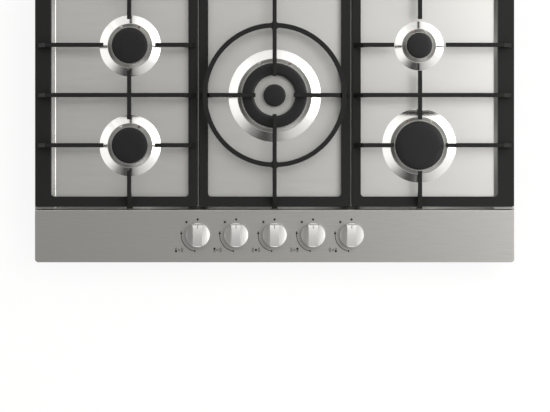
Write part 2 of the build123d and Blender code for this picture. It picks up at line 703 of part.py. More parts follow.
with BuildPart() as burner_cups:
    for x, y, seat, ring in burner_rings():
        spigot = seat - CUP_STEP
        with BuildSketch(Plane.XY.offset(CUP_Z)):
            with Locations((x, y)):
                Circle(spigot)
        extrude(amount=CUP_HEIGHT + CUP_SPIGOT + SHEET)
        with BuildSketch(Plane.XY.offset(SEAT_Z - SHEET - CUP_FLANGE)):
            with Locations((x, y)):
                Circle(seat - SHEET)
        extrude(amount=CUP_FLANGE)
        with BuildSketch(Plane.XY.offset(CUP_Z + CUP_FLOOR)):
            with Locations((x, y)):
                Circle(spigot - CUP_WALL)
        extrude(amount=CUP_HEIGHT + CUP_SPIGOT, mode=Mode.SUBTRACT)
        with BuildSketch(Plane.XY.offset(CUP_Z)):
            with Locations((x, y)):
                Circle(INJECTOR_RADIUS)
        extrude(amount=CUP_FLOOR, mode=Mode.SUBTRACT)
        with BuildSketch(Plane.XY.offset(SEAT_Z - SHEET - CUP_FLANGE)):
            with Locations(electrode_place(x, y, seat), thermocouple_place(x, y, seat)):
                Circle(ELECTRODE_RADIUS)
            with Locations(*screw_places(x, y, seat)):
                Circle(BURNER_SCREW_RADIUS)
        extrude(amount=CUP_FLANGE, mode=Mode.SUBTRACT)
save(burner_cups, "burner_cups")

with BuildPart() as burner_screws:
    for x, y, seat, ring in burner_rings():
        with BuildSketch(Plane.XY.offset(SEAT_Z)):
            with Locations(*screw_places(x, y, seat)):
                Circle(BURNER_SCREW_HEAD)
        extrude(amount=SCREW_HEAD_HEIGHT)
        with BuildSketch(Plane.XY.offset(SEAT_Z - BURNER_SCREW_LENGTH)):
            with Locations(*screw_places(x, y, seat)):
                Circle(BURNER_SCREW_RADIUS)
        extrude(amount=BURNER_SCREW_LENGTH)
        with BuildSketch(Plane.XY.offset(SEAT_Z + SCREW_HEAD_HEIGHT)):
            with Locations(*screw_places(x, y, seat)):
                Rectangle(BURNER_SLOT_LENGTH, SCREW_SLOT_WIDTH)
        extrude(amount=-SCREW_HEAD_HEIGHT / 2, mode=Mode.SUBTRACT)
save(burner_screws, "burner_screws")

with BuildPart() as injectors:
    for x, y, seat, ring in burner_rings():
        with BuildSketch(Plane.XY.offset(CUP_Z)):
            with Locations((x, y)):
                Circle(INJECTOR_RADIUS)
        extrude(amount=CUP_FLOOR)
        with BuildSketch(Plane.XY.offset(CUP_Z + CUP_FLOOR)):
            with Locations((x, y)):
                RegularPolygon(INJECTOR_RADIUS, 6)
        extrude(amount=INJECTOR_HEIGHT - CUP_FLOOR / 2)
        with BuildSketch(Plane.XY.offset(CUP_Z)):
            with Locations((x, y)):
                Circle(INJECTOR_JET)
        extrude(amount=CUP_FLOOR + INJECTOR_HEIGHT, mode=Mode.SUBTRACT)
save(injectors, "injectors")

ELECTRODE_Z = SEAT_Z - ELECTRODE_DROP
ELECTRODE_TOP_Z = SEAT_Z + ELECTRODE_STAND
PIN_TOP_Z = SEAT_Z + CROWN_HEIGHT - PORT_HEIGHT / 2
with BuildPart() as spark_electrodes:
    for x, y, seat, ring in burner_rings():
        centre = electrode_place(x, y, seat)
        with BuildSketch(Plane.XY.offset(ELECTRODE_Z)):
            with Locations(centre):
                Circle(ELECTRODE_RADIUS)
        extrude(amount=ELECTRODE_TOP_Z - ELECTRODE_Z)
        with BuildSketch(Plane.XY.offset(ELECTRODE_TOP_Z)):
            with Locations(centre):
                Circle(ELECTRODE_PIN_RADIUS)
        extrude(amount=PIN_TOP_Z - ELECTRODE_TOP_Z)
save(spark_electrodes, "spark_electrodes")


# ---- Tubes and leads inside the box ----
def tube(points, bend, radius, wall=0.0):
    """A bent tube or solid lead along the points, in the part that is being built."""
    with BuildLine() as route:
        if len(points) > 2:
            FilletPolyline(*points, radius=bend)
        else:
            Line(*points)
    start = Plane(origin=route.wires()[0] @ 0, z_dir=route.wires()[0] % 0)
    with BuildSketch(start) as section:
        Circle(radius)
        if wall > 0:
            Circle(radius - wall, mode=Mode.SUBTRACT)
    sweep(section.sketch, path=route.wires()[0])


TAP_REAR_Y = KNOB_Y + TAP_DEPTH / 2
TURN_Y = TAP_REAR_Y + PIPE_START
FRONT_SEAT = {-1: BURNERS["front_left"][3], 1: BURNERS["front_right"][3]}
REAR_SEAT = {-1: BURNERS["rear_left"][3], 1: BURNERS["rear_right"][3]}
LANE_X = BURNER_X - KNOB_PITCH
with BuildPart() as burner_pipes:
    for side in (-1, 1):
        tap_x = side * 2 * KNOB_PITCH
        end_y = FRONT_BURNER_Y - (FRONT_SEAT[side] - CUP_STEP)
        tube(
            [
                (tap_x, TAP_REAR_Y, PIPE_Z),
                (tap_x, TURN_Y, PIPE_Z),
                (side * BURNER_X, TURN_Y + FRONT_PIPE_SLANT, PIPE_Z),
                (side * BURNER_X, end_y, PIPE_Z),
            ],
            PIPE_BEND,
            PIPE_RADIUS,
            PIPE_WALL,
        )
        tap_x = side * KNOB_PITCH
        end_y = REAR_BURNER_Y - (REAR_SEAT[side] - CUP_STEP)
        tube(
            [
                (tap_x, TAP_REAR_Y, PIPE_Z),
                (tap_x, TURN_Y, PIPE_Z),
                (side * LANE_X, TURN_Y + REAR_PIPE_SLANT, PIPE_Z),
                (side * LANE_X, FRONT_BURNER_Y + REAR_PIPE_TURN, PIPE_Z),
                (side * BURNER_X, end_y - REAR_PIPE_END, PIPE_Z),
                (side * BURNER_X, end_y, PIPE_Z),
            ],
            PIPE_BEND,
            PIPE_RADIUS,
            PIPE_WALL,
        )
    tube(
        [(0, TAP_REAR_Y, PIPE_Z), (0, WOK_Y - (WOK_SEAT_RADIUS - CUP_STEP), PIPE_Z)],
        PIPE_BEND,
        PIPE_RADIUS,
        PIPE_WALL,
    )
save(burner_pipes, "burner_pipes")

RAIL_END_X = KNOB_X[0] - RAIL_OVERRUN
with BuildPart() as gas_rail:
    tube(
        [
            (RECESS_X, RECESS_Y - SHEET - WASHER_THICKNESS - INLET_NUT_LENGTH, RAIL_Z),
            (RECESS_X, KNOB_Y, RAIL_Z),
            (RAIL_END_X, KNOB_Y, RAIL_Z),
        ],
        RAIL_BEND,
        RAIL_RADIUS,
        RAIL_WALL,
    )
    with BuildSketch(Plane.YZ.offset(RAIL_END_X)):
        with Locations((KNOB_Y, RAIL_Z)):
            Circle(RAIL_RADIUS)
    extrude(amount=RAIL_WALL)
    with BuildSketch(Plane.XY.offset(RAIL_Z + RAIL_RADIUS)):
        with Locations(*[(x, KNOB_Y) for x in KNOB_X]):
            Rectangle(TAP_WIDTH, RAIL_SADDLE_WIDTH)
    extrude(amount=-RAIL_RADIUS / 2)
    with BuildSketch(Plane.YZ.offset(RAIL_END_X + RAIL_WALL)):
        with Locations((KNOB_Y, RAIL_Z)):
            Circle(RAIL_RADIUS - RAIL_WALL)
    extrude(amount=KNOB_X[-1] + TAP_WIDTH - RAIL_END_X, mode=Mode.SUBTRACT)
save(gas_rail, "gas_rail")

with BuildPart() as inlet_washer:
    with BuildSketch(Plane.XZ.offset(-(RECESS_Y - SHEET))):
        with Locations((RECESS_X, RAIL_Z)):
            Circle(WASHER_RADIUS)
            Circle(INLET_NECK_RADIUS + HOLE_GAP, mode=Mode.SUBTRACT)
    extrude(amount=WASHER_THICKNESS)
save(inlet_washer, "inlet_washer")

with BuildPart() as inlet_elbow:
    nut_y = RECESS_Y - SHEET - WASHER_THICKNESS
    with BuildSketch(Plane.XZ.offset(-nut_y)):
        with Locations((RECESS_X, RAIL_Z)):
            RegularPolygon(INLET_NUT_RADIUS, 6)
    extrude(amount=INLET_NUT_LENGTH)
    with BuildSketch(Plane.XZ.offset(-(RECESS_Y + INLET_LENGTH))):
        with Locations((RECESS_X, RAIL_Z)):
            Circle(INLET_RADIUS)
    extrude(amount=INLET_LENGTH)
    with BuildSketch(Plane.XZ.offset(-RECESS_Y)):
        with Locations((RECESS_X, RAIL_Z)):
            Circle(INLET_NECK_RADIUS)
    extrude(amount=SHEET + WASHER_THICKNESS)
    with BuildSketch(Plane.XZ.offset(-(RECESS_Y + INLET_LENGTH))):
        with Locations((RECESS_X, RAIL_Z)):
            Circle(INLET_BORE)
    extrude(amount=INLET_LENGTH + SHEET + WASHER_THICKNESS, mode=Mode.SUBTRACT)
    with BuildSketch(Plane.XZ.offset(-nut_y)):
        with Locations((RECESS_X, RAIL_Z)):
            Circle(RAIL_RADIUS - RAIL_WALL)
    extrude(amount=INLET_NUT_LENGTH, mode=Mode.SUBTRACT)
save(inlet_elbow, "inlet_elbow")

# ---- Taps ----
VALVE_Z = TAP_TOP_Z - VALVE_DROP
with BuildPart() as tap_bodies:
    for x in KNOB_X:
        with BuildSketch(Plane.XY.offset(TAP_Z)):
            with Locations((x, KNOB_Y)):
                RectangleRounded(TAP_WIDTH, TAP_DEPTH, MOULDED_CORNER)
        extrude(amount=TAP_HEIGHT)
        with BuildSketch(Plane.XY.offset(TAP_TOP_Z)):
            with Locations((x, KNOB_Y)):
                Circle(TAP_NECK_RADIUS)
        extrude(amount=TAP_NECK_HEIGHT)
        with Locations((x, KNOB_Y, CONE_Z)):
            Cone(
                CONE_RADIUS - CONE_TAPER + RUNNING_GAP,
                CONE_RADIUS + RUNNING_GAP,
                CONE_HEIGHT,
                align=(Align.CENTER, Align.CENTER, Align.MIN),
                mode=Mode.SUBTRACT,
            )
        with BuildSketch(Plane.XY.offset(TAP_TOP_Z)):
            with Locations((x, KNOB_Y)):
                Circle(CHAMBER_RADIUS)
        extrude(amount=TAP_NECK_HEIGHT - TAP_NECK_WALL, mode=Mode.SUBTRACT)
        with BuildSketch(Plane.XY.offset(NECK_TOP_Z - TAP_NECK_WALL)):
            with Locations((x, KNOB_Y)):
                Circle(SHAFT_RADIUS + RUNNING_GAP)
        extrude(amount=TAP_NECK_WALL, mode=Mode.SUBTRACT)
save(tap_bodies, "tap_bodies")

with BuildPart() as safety_valves:
    for x in KNOB_X:
        with BuildSketch(Plane.XZ.offset(-(TAP_REAR_Y + VALVE_LENGTH))):
            with Locations((x, VALVE_Z)):
                Circle(VALVE_RADIUS)
        extrude(amount=VALVE_LENGTH)
save(safety_valves, "safety_valves")

with BuildPart() as tap_switches:
    with BuildSketch(Plane.XY.offset(TAP_TOP_Z)):
        with Locations(*[(x, KNOB_Y) for x in KNOB_X]):
            RectangleRounded(SWITCH_SIZE, SWITCH_SIZE, MOULDED_CORNER)
            Circle(TAP_NECK_RADIUS + HOLE_GAP, mode=Mode.SUBTRACT)
    extrude(amount=SWITCH_HEIGHT)
save(tap_switches, "tap_switches")

with BuildPart() as knob_gaskets:
    with BuildSketch(Plane.XY.offset(STRIP_Z - SHEET)):
        with Locations(*[(x, KNOB_Y) for x in KNOB_X]):
            Circle(GASKET_HOLE_RADIUS - SOFT_GAP)
            Circle(SHAFT_RADIUS + SOFT_GAP, mode=Mode.SUBTRACT)
    extrude(amount=SHEET + SOFT_GAP)
    with BuildSketch(Plane.XY.offset(STRIP_Z + SOFT_GAP)):
        with Locations(*[(x, KNOB_Y) for x in KNOB_X]):
            Circle(GASKET_RADIUS)
            Circle(SHAFT_RADIUS + SOFT_GAP, mode=Mode.SUBTRACT)
    extrude(amount=GASKET_THICKNESS)
save(knob_gaskets, "knob_gaskets")

CONE_TOP_Z = CONE_Z + CONE_HEIGHT - FIT_GAP
COLLAR_Z = NECK_TOP_Z - TAP_NECK_WALL - FIT_GAP - COLLAR_HEIGHT
BLADE_Z = CONE_TOP_Z - BLADE_REACH
SHAFT_TOP_Z = KNOB_Z + KNOB_RIM + SHAFT_GRIP


def build_cone():
    """The tapered plug that meters the gas, with a slot across its top for the spindle."""
    with BuildPart() as cone:
        with Locations((0, 0, CONE_Z + FIT_GAP)):
            Cone(
                CONE_RADIUS - CONE_TAPER,
                CONE_RADIUS - RUNNING_GAP,
                CONE_HEIGHT - 2 * FIT_GAP,
                align=(Align.CENTER, Align.CENTER, Align.MIN),
            )
        with BuildSketch(Plane.XY.offset(CONE_TOP_Z)):
            Rectangle(BLADE_THICKNESS + 2 * SLOT_GAP, 2 * CONE_RADIUS + 1)
        extrude(amount=-SLOT_DEPTH, mode=Mode.SUBTRACT)
    return cone


def build_spindle():
    """The spindle: blade in the plug's slot, collar under the neck, round shaft with a flat."""
    with BuildPart() as spindle:
        with BuildSketch(Plane.XY.offset(BLADE_Z)):
            Rectangle(BLADE_THICKNESS, BLADE_WIDTH)
        extrude(amount=COLLAR_Z - BLADE_Z)
        with BuildSketch(Plane.XY.offset(COLLAR_Z)):
            Circle(COLLAR_RADIUS)
        extrude(amount=COLLAR_HEIGHT)
        with BuildSketch(Plane.XY.offset(COLLAR_Z + COLLAR_HEIGHT)):
            Circle(SHAFT_RADIUS)
        extrude(amount=SHAFT_TOP_Z - COLLAR_Z - COLLAR_HEIGHT)
        with BuildSketch(Plane.XY.offset(KNOB_Z)):
            with Locations((0, -SHAFT_RADIUS)):
                Rectangle(2 * SHAFT_RADIUS, 2 * SHAFT_FLAT)
        extrude(amount=SHAFT_TOP_Z - KNOB_Z, mode=Mode.SUBTRACT)
    return spindle


def build_spring():
    """A coil of half-circle turns, each tilted by its climb, from the plug to the collar."""
    bottom = CONE_TOP_Z + SPRING_WIRE / 2 + RUNNING_GAP
    height = COLLAR_Z - CONE_TOP_Z - SPRING_WIRE - 2 * RUNNING_GAP
    climb = height / (2 * SPRING_TURNS)
    reach = hypot(SPRING_RADIUS, climb / 2)
    with BuildPart() as spring:
        with BuildLine() as coil:
            for i in range(2 * SPRING_TURNS):
                side = 1 if i % 2 == 0 else -1
                low = bottom + i * climb
                ThreePointArc(
                    (side * SPRING_RADIUS, 0, low),
                    (0, side * reach, low + climb / 2),
                    (-side * SPRING_RADIUS, 0, low + climb),
                )
        with BuildSketch(Plane(origin=(SPRING_RADIUS, 0, bottom), z_dir=(0, 1, 0))):
            Circle(SPRING_WIRE / 2)
        sweep(path=coil.wires()[0])
    return spring


# ---- Knob ----
def build_knob():
    """A round knob: low rim, two sloped flanks, a crowned grip bar and a hollow underside."""
    half_bar = KNOB_BAR_WIDTH / 2
    past_rim = KNOB_RADIUS + 1
    with BuildPart() as knob:
        with BuildSketch(Plane.XY):
            Circle(KNOB_RADIUS)
        extrude(amount=KNOB_HEIGHT)
        for side in (-1, 1):
            with BuildSketch(side_plane(0, 0, side, 0)):
                with BuildLine():
                    ThreePointArc(
                        (half_bar, KNOB_HEIGHT),
                        (half_bar + KNOB_FLANK_RUN, KNOB_RIM + KNOB_FLANK_RISE),
                        (past_rim, KNOB_RIM - KNOB_RIM_FALL),
                    )
                    Polyline(
                        (past_rim, KNOB_RIM - KNOB_RIM_FALL),
                        (past_rim, KNOB_HEIGHT),
                        (half_bar, KNOB_HEIGHT),
                    )
                make_face()
            extrude(amount=past_rim, both=True, mode=Mode.SUBTRACT)
        with BuildSketch(Plane.YZ):
            with BuildLine():
                Polyline(
                    (KNOB_RADIUS - KNOB_BAR_INSET, KNOB_HEIGHT),
                    (KNOB_RADIUS - KNOB_BAR_FOOT, KNOB_RIM),
                    (past_rim, KNOB_RIM),
                    (past_rim, KNOB_HEIGHT),
                    close=True,
                )
            make_face()
        extrude(amount=half_bar * 2, both=True, mode=Mode.SUBTRACT)
        with BuildSketch(Plane.YZ):
            with BuildLine():
                Polyline(
                    (-KNOB_RADIUS + KNOB_WALL, KNOB_HEIGHT),
                    (-past_rim, KNOB_HEIGHT - 2 * KNOB_WALL),
                    (-past_rim, KNOB_HEIGHT),
                    close=True,
                )
            make_face()
        extrude(amount=half_bar * 2, both=True, mode=Mode.SUBTRACT)
        with BuildSketch(Plane.YZ):
            with BuildLine():
                ThreePointArc(
                    (-past_rim, KNOB_HEIGHT - KNOB_CROWN),
                    (0, KNOB_HEIGHT),
                    (past_rim, KNOB_HEIGHT - KNOB_CROWN),
                )
                Polyline(
                    (past_rim, KNOB_HEIGHT - KNOB_CROWN),
                    (past_rim, KNOB_HEIGHT + KNOB_CROWN),
                    (-past_rim, KNOB_HEIGHT + KNOB_CROWN),
                    (-past_rim, KNOB_HEIGHT - KNOB_CROWN),
                )
            make_face()
        extrude(amount=half_bar * 2, both=True, mode=Mode.SUBTRACT)
        with BuildSketch(Plane.XY):
            Circle(KNOB_RADIUS - KNOB_WALL)
        extrude(amount=KNOB_BOSS_LIFT, mode=Mode.SUBTRACT)
        with BuildSketch(Plane.XY):
            Circle(KNOB_RADIUS - KNOB_WALL)
            Circle(KNOB_BOSS_RADIUS, mode=Mode.SUBTRACT)
        extrude(amount=KNOB_RIM - KNOB_WALL, mode=Mode.SUBTRACT)
        with BuildSketch(Plane.XY):
            Circle(SHAFT_RADIUS + RUNNING_GAP)
            with Locations((0, -SHAFT_RADIUS - RUNNING_GAP)):
                Rectangle(
                    2 * SHAFT_RADIUS + 1, 2 * SHAFT_FLAT, mode=Mode.SUBTRACT
                )
        extrude(amount=KNOB_RIM + SHAFT_GRIP + RUNNING_GAP, mode=Mode.SUBTRACT)
        with BuildSketch(Plane.XY.offset(KNOB_HEIGHT)):
            with Locations((0, KNOB_RADIUS - KNOB_BAR_INSET - KNOB_POINTER_LENGTH / 2)):
                Rectangle(KNOB_POINTER_WIDTH, KNOB_POINTER_LENGTH)
        extrude(amount=-KNOB_POINTER_DEPTH, mode=Mode.SUBTRACT)
    return knob


cone_form = build_cone()
spindle_form = build_spindle()
spring_form = build_spring()
knob_form = build_knob()
for number, x in enumerate(KNOB_X, start=1):
    placed(cone_form, x, KNOB_Y, 0, "tap_cone_" + str(number))
    placed(spindle_form, x, KNOB_Y, 0, "tap_spindle_" + str(number))
    placed(spring_form, x, KNOB_Y, 0, "tap_spring_" + str(number))
    placed(knob_form, x, KNOB_Y, KNOB_Z, "knob_" + str(number))


# ---- Grates ----
def build_finger(x, y, dx, dy, length, bar_width):
    """One pan finger: a flared foot on the frame, a sloping leg and a level arm to its tip."""
    slope_height = PAN_Z - FRAME_Z - FOOT_HEIGHT
    with BuildPart() as finger:
        with BuildSketch(side_plane(x, y, dx, dy)):
            with BuildLine():
                Polyline(
                    (0, FRAME_Z),
                    (0, FRAME_Z + FOOT_HEIGHT),
                    (LEG_RUN, FRAME_Z + FOOT_HEIGHT + slope_height),
                    (length, PAN_Z),
                    (length, PAN_Z - FINGER_TIP_DEPTH),
                    (LEG_RUN + FINGER_DEPTH, PAN_Z - FINGER_DEPTH),
                    (bar_width, FRAME_Z + FOOT_HEIGHT),
                    (bar_width, FRAME_Z),
                    close=True,
                )
            make_face()
        extrude(amount=FOOT_WIDTH / 2, both=True)
        with BuildSketch(Plane(origin=(x, y, FRAME_Z), x_dir=(dx, dy, 0), z_dir=UP)):
            with BuildLine():
                Polyline(
                    (0, -FOOT_WIDTH / 2),
                    (FOOT_FLARE, -FINGER_WIDTH / 2),
                    (length, -FINGER_WIDTH / 2),
                    (length, FINGER_WIDTH / 2),
                    (FOOT_FLARE, FINGER_WIDTH / 2),
                    (0, FOOT_WIDTH / 2),
                    close=True,
                )
            make_face()
        extrude(amount=PAN_Z - FRAME_Z, mode=Mode.INTERSECT)
        top_face = finger.faces().filter_by(Axis.Z).sort_by(Axis.Z)[-1]
        chamfer(top_face.edges(), FINGER_EDGE)
    return finger


def build_crossbar(x, y, span, bar_left, bar_right):
    """The bar across a side grate, raised to pan height on a leg at each end."""
    with BuildPart() as crossbar:
        with BuildSketch(side_plane(x, y, 1, 0)):
            with BuildLine():
                Polyline(
                    (0, FRAME_Z),
                    (0, FRAME_Z + FOOT_HEIGHT),
                    (LEG_RUN, PAN_Z),
                    (span - LEG_RUN, PAN_Z),
                    (span, FRAME_Z + FOOT_HEIGHT),
                    (span, FRAME_Z),
                    (span - bar_right, FRAME_Z),
                    (span - bar_right, FRAME_Z + FOOT_HEIGHT),
                    (span - LEG_RUN - FINGER_DEPTH, PAN_Z - FINGER_DEPTH),
                    (LEG_RUN + FINGER_DEPTH, PAN_Z - FINGER_DEPTH),
                    (bar_left, FRAME_Z + FOOT_HEIGHT),
                    (bar_left, FRAME_Z),
                    close=True,
                )
            make_face()
        extrude(amount=FINGER_WIDTH / 2, both=True)
        top_face = crossbar.faces().filter_by(Axis.Z).sort_by(Axis.Z)[-1]
        chamfer(top_face.edges(), FINGER_EDGE)
    return crossbar


def build_frame(x_low, x_high, bar_left, bar_right):
    """The low flat frame of a grate, set back from the fingers' feet and bevelled on top."""
    middle = ((x_low + x_high) / 2, (GRATE_FRONT_Y + GRATE_REAR_Y) / 2)
    depth = GRATE_REAR_Y - GRATE_FRONT_Y
    with BuildPart() as frame:
        with BuildSketch(Plane.XY.offset(FRAME_Z)):
            with Locations(middle):
                RectangleRounded(x_high - x_low, depth - 2 * FRAME_SETBACK, FRAME_CORNER)
        extrude(amount=FRAME_HEIGHT)
        top_face = frame.faces().sort_by(Axis.Z)[-1]
        chamfer(top_face.edges(), FRAME_BEVEL)
        with BuildSketch(Plane.XY.offset(FRAME_Z)):
            with Locations(
                (
                    (x_low + bar_left + x_high - bar_right) / 2,
                    (GRATE_FRONT_Y + FRONT_BAR + GRATE_REAR_Y - REAR_BAR) / 2,
                )
            ):
                RectangleRounded(
                    x_high - x_low - bar_left - bar_right,
                    depth - FRONT_BAR - REAR_BAR,
                    FRAME_INNER_CORNER,
                )
        extrude(amount=FRAME_HEIGHT, mode=Mode.SUBTRACT)
    return frame


def foot_places(x_low, x_high):
    """The four corner feet of a grate, with the level that each stands on."""
    places = []
    for x in (x_low + PAD_INSET, x_high - PAD_INSET):
        for y in (GRATE_FRONT_Y + PAD_INSET + FRAME_SETBACK, GRATE_REAR_Y - PAD_INSET):
            inside = abs(x) < BASIN_HALF_X and y < BASIN_REAR_Y
            places.append((x, y, FLOOR_Z if inside else LEDGE_Z))
    return places


def add_legs(x_low, x_high):
    """Cast legs that reach down to the rubber pads, where the frame stands over the basin."""
    for x, y, level in foot_places(x_low, x_high):
        gap = FRAME_Z - level - PAD_HEIGHT
        if gap > 0:
            with BuildSketch(Plane.XY.offset(FRAME_Z)) as leg:
                with Locations((x, y)):
                    Circle(PAD_RADIUS)
            extrude(leg.sketch, amount=-gap)


def build_pads(x_low, x_high):
    """Rubber pads under a grate's corners."""
    with BuildPart() as pads:
        for x, y, level in foot_places(x_low, x_high):
            with BuildSketch(Plane.XY.offset(level)):
                with Locations((x, y)):
                    Circle(PAD_RADIUS)
            extrude(amount=PAD_HEIGHT)
    return pads


def build_side_grate(x_low, x_high, bar_left, bar_right, burner_x):
    """A side grate: frame, crossbar and four fingers round each of its two burners."""
    frame = build_frame(x_low, x_high, bar_left, bar_right)
    crossbar = build_crossbar(x_low, WOK_Y, x_high - x_low, bar_left, bar_right)
    fingers = [
        build_finger(
            burner_x,
            GRATE_FRONT_Y,
            0,
            1,
            FRONT_BURNER_Y - FINGER_TIP_RADIUS - GRATE_FRONT_Y,
            FRONT_BAR,
        ),
        build_finger(
            burner_x,
            GRATE_REAR_Y,
            0,
            -1,
            GRATE_REAR_Y - REAR_BURNER_Y - FINGER_TIP_RADIUS,
            REAR_BAR,
        ),
    ]
    for y in (FRONT_BURNER_Y, REAR_BURNER_Y):
        reach = burner_x - FINGER_TIP_RADIUS - x_low
        fingers.append(build_finger(x_low, y, 1, 0, reach, bar_left))
        reach = x_high - burner_x - FINGER_TIP_RADIUS
        fingers.append(build_finger(x_high, y, -1, 0, reach, bar_right))
    with BuildPart() as grate:
        add(frame.part)
        add(crossbar.part)
        for finger in fingers:
            add(finger.part)
        with BuildSketch(Plane.XY.offset(PAN_Z - FINGER_DEPTH)):
            front_tip = FRONT_BURNER_Y + FINGER_TIP_RADIUS
            rear_tip = REAR_BURNER_Y - FINGER_TIP_RADIUS
            with Locations((burner_x, (front_tip + rear_tip) / 2)):
                Rectangle(FINGER_WIDTH, rear_tip - front_tip)
        extrude(amount=FINGER_DEPTH)
        add_legs(x_low, x_high)
    return grate


CENTRE_HALF = GRATE_CENTRE_WIDTH / 2
LEFT_SPAN = (-PANEL_WIDTH / 2 + GRATE_SIDE_INSET, -CENTRE_HALF - GRATE_GAP)
CENTRE_SPAN = (-CENTRE_HALF, CENTRE_HALF)
RIGHT_SPAN = (CENTRE_HALF + GRATE_GAP, PANEL_WIDTH / 2 - GRATE_SIDE_INSET)

grate_left = build_side_grate(*LEFT_SPAN, OUTER_BAR, INNER_BAR, -BURNER_X)
save(grate_left, "grate_left")
grate_right = build_side_grate(*RIGHT_SPAN, INNER_BAR, OUTER_BAR, BURNER_X)
save(grate_right, "grate_right")

centre_frame = build_frame(*CENTRE_SPAN, INNER_BAR, INNER_BAR)
centre_fingers = [
    build_finger(0, GRATE_FRONT_Y, 0, 1, WOK_Y - WOK_TIP_RADIUS - GRATE_FRONT_Y, FRONT_BAR),
    build_finger(0, GRATE_REAR_Y, 0, -1, GRATE_REAR_Y - WOK_Y - WOK_TIP_RADIUS, REAR_BAR),
    build_finger(-CENTRE_HALF, WOK_Y, 1, 0, CENTRE_HALF - WOK_TIP_RADIUS, INNER_BAR),
    build_finger(CENTRE_HALF, WOK_Y, -1, 0, CENTRE_HALF - WOK_TIP_RADIUS, INNER_BAR),
]
RING_INNER = WOK_RING_CENTRELINE - WOK_RING_WIDTH / 2
RING_OUTER = WOK_RING_CENTRELINE + WOK_RING_WIDTH / 2
with BuildPart() as grate_centre:
    add(centre_frame.part)
    for finger in centre_fingers:
        add(finger.part)
    with BuildSketch(Plane.XY.offset(PAN_Z - FINGER_DEPTH)) as ring_sketch:
        with Locations((0, WOK_Y)):
            Circle(RING_OUTER)
            Circle(RING_INNER, mode=Mode.SUBTRACT)
        with Locations((0, WOK_Y - WOK_RING_CENTRELINE), (0, WOK_Y + WOK_RING_CENTRELINE)):
            Rectangle(FINGER_WIDTH, WOK_RING_WIDTH * 3)
        crossing = [
            v
            for v in ring_sketch.vertices()
            if abs(hypot(v.X, v.Y - WOK_Y) - WOK_RING_CENTRELINE) < WOK_RING_WIDTH * 0.7
        ]
        fillet(crossing, CROSSING_FILLET)
    extrude(amount=FINGER_DEPTH - FINGER_EDGE)
    add_legs(*CENTRE_SPAN)
save(grate_centre, "grate_centre")

save(build_pads(*LEFT_SPAN), "grate_pads_left")
save(build_pads(*CENTRE_SPAN), "grate_pads_centre")
save(build_pads(*RIGHT_SPAN), "grate_pads_right")

# ---- Ignition and flame sensing ----
with BuildPart() as spark_generator:
    with BuildSketch(Plane.XY.offset(SHEET)):
        with Locations((GENERATOR_X, GENERATOR_Y)):
            RectangleRounded(GENERATOR_SIZE[0], GENERATOR_SIZE[1], MOULDED_CORNER)
    extrude(amount=GENERATOR_SIZE[2])
save(spark_generator, "spark_generator")

with BuildPart() as terminal_box:
    with BuildSketch(Plane.XY.offset(SHEET)):
        with Locations((TERMINAL_X, TRAY_REAR_Y - SHEET - TERMINAL_SIZE[1] / 2)):
            RectangleRounded(TERMINAL_SIZE[0], TERMINAL_SIZE[1], MOULDED_CORNER)
    extrude(amount=TERMINAL_SIZE[2])
    with BuildSketch(Plane.XZ.offset(-(TRAY_REAR_Y - SHEET))):
        with Locations((TERMINAL_X, SHEET + TERMINAL_SIZE[2] / 2)):
            Circle(GLAND_RADIUS)
    extrude(amount=-GLAND_LENGTH)
    with BuildSketch(Plane.XZ.offset(-(TRAY_REAR_Y + GLAND_LENGTH))):
        with Locations((TERMINAL_X, SHEET + TERMINAL_SIZE[2] / 2)):
            Circle(GLAND_BORE)
    extrude(amount=2 * GLAND_LENGTH, mode=Mode.SUBTRACT)
save(terminal_box, "terminal_box")

PORT_X = GENERATOR_X + GENERATOR_SIZE[0] / 2
with BuildPart() as ignition_wires:
    for lane, (x, y, seat, ring) in enumerate(burner_rings()):
        end_x, end_y = electrode_place(x, y, seat)
        z = SHEET + WIRE_RADIUS + FIT_GAP + lane * WIRE_STEP
        port_y = GENERATOR_Y + (lane - 2) * WIRE_PORT_PITCH
        if abs(end_y - port_y) > WIRE_TURN:
            lane_x = PORT_X + WIRE_LANE_START + lane * WIRE_LANE_PITCH
            plan = [(PORT_X, port_y), (lane_x, port_y), (lane_x, end_y), (end_x, end_y)]
        else:
            plan = [(PORT_X, port_y), (end_x, port_y), (end_x, end_y)]
        tube(
            [(px, py, z) for px, py in plan] + [(end_x, end_y, ELECTRODE_Z)],
            WIRE_BEND,
            WIRE_RADIUS,
        )
save(ignition_wires, "ignition_wires")

THERMOCOUPLE_TOP_Z = SEAT_Z + CROWN_HEIGHT - PORT_HEIGHT


def lead_plan(tap_x, lane_x, slant, burner):
    """A lead's corners seen from above: its tap, its lane beside the burners, its sensor."""
    end = thermocouple_place(*burner)
    return [(tap_x, TURN_Y), (lane_x, TURN_Y + slant), (lane_x, end[1]), end]


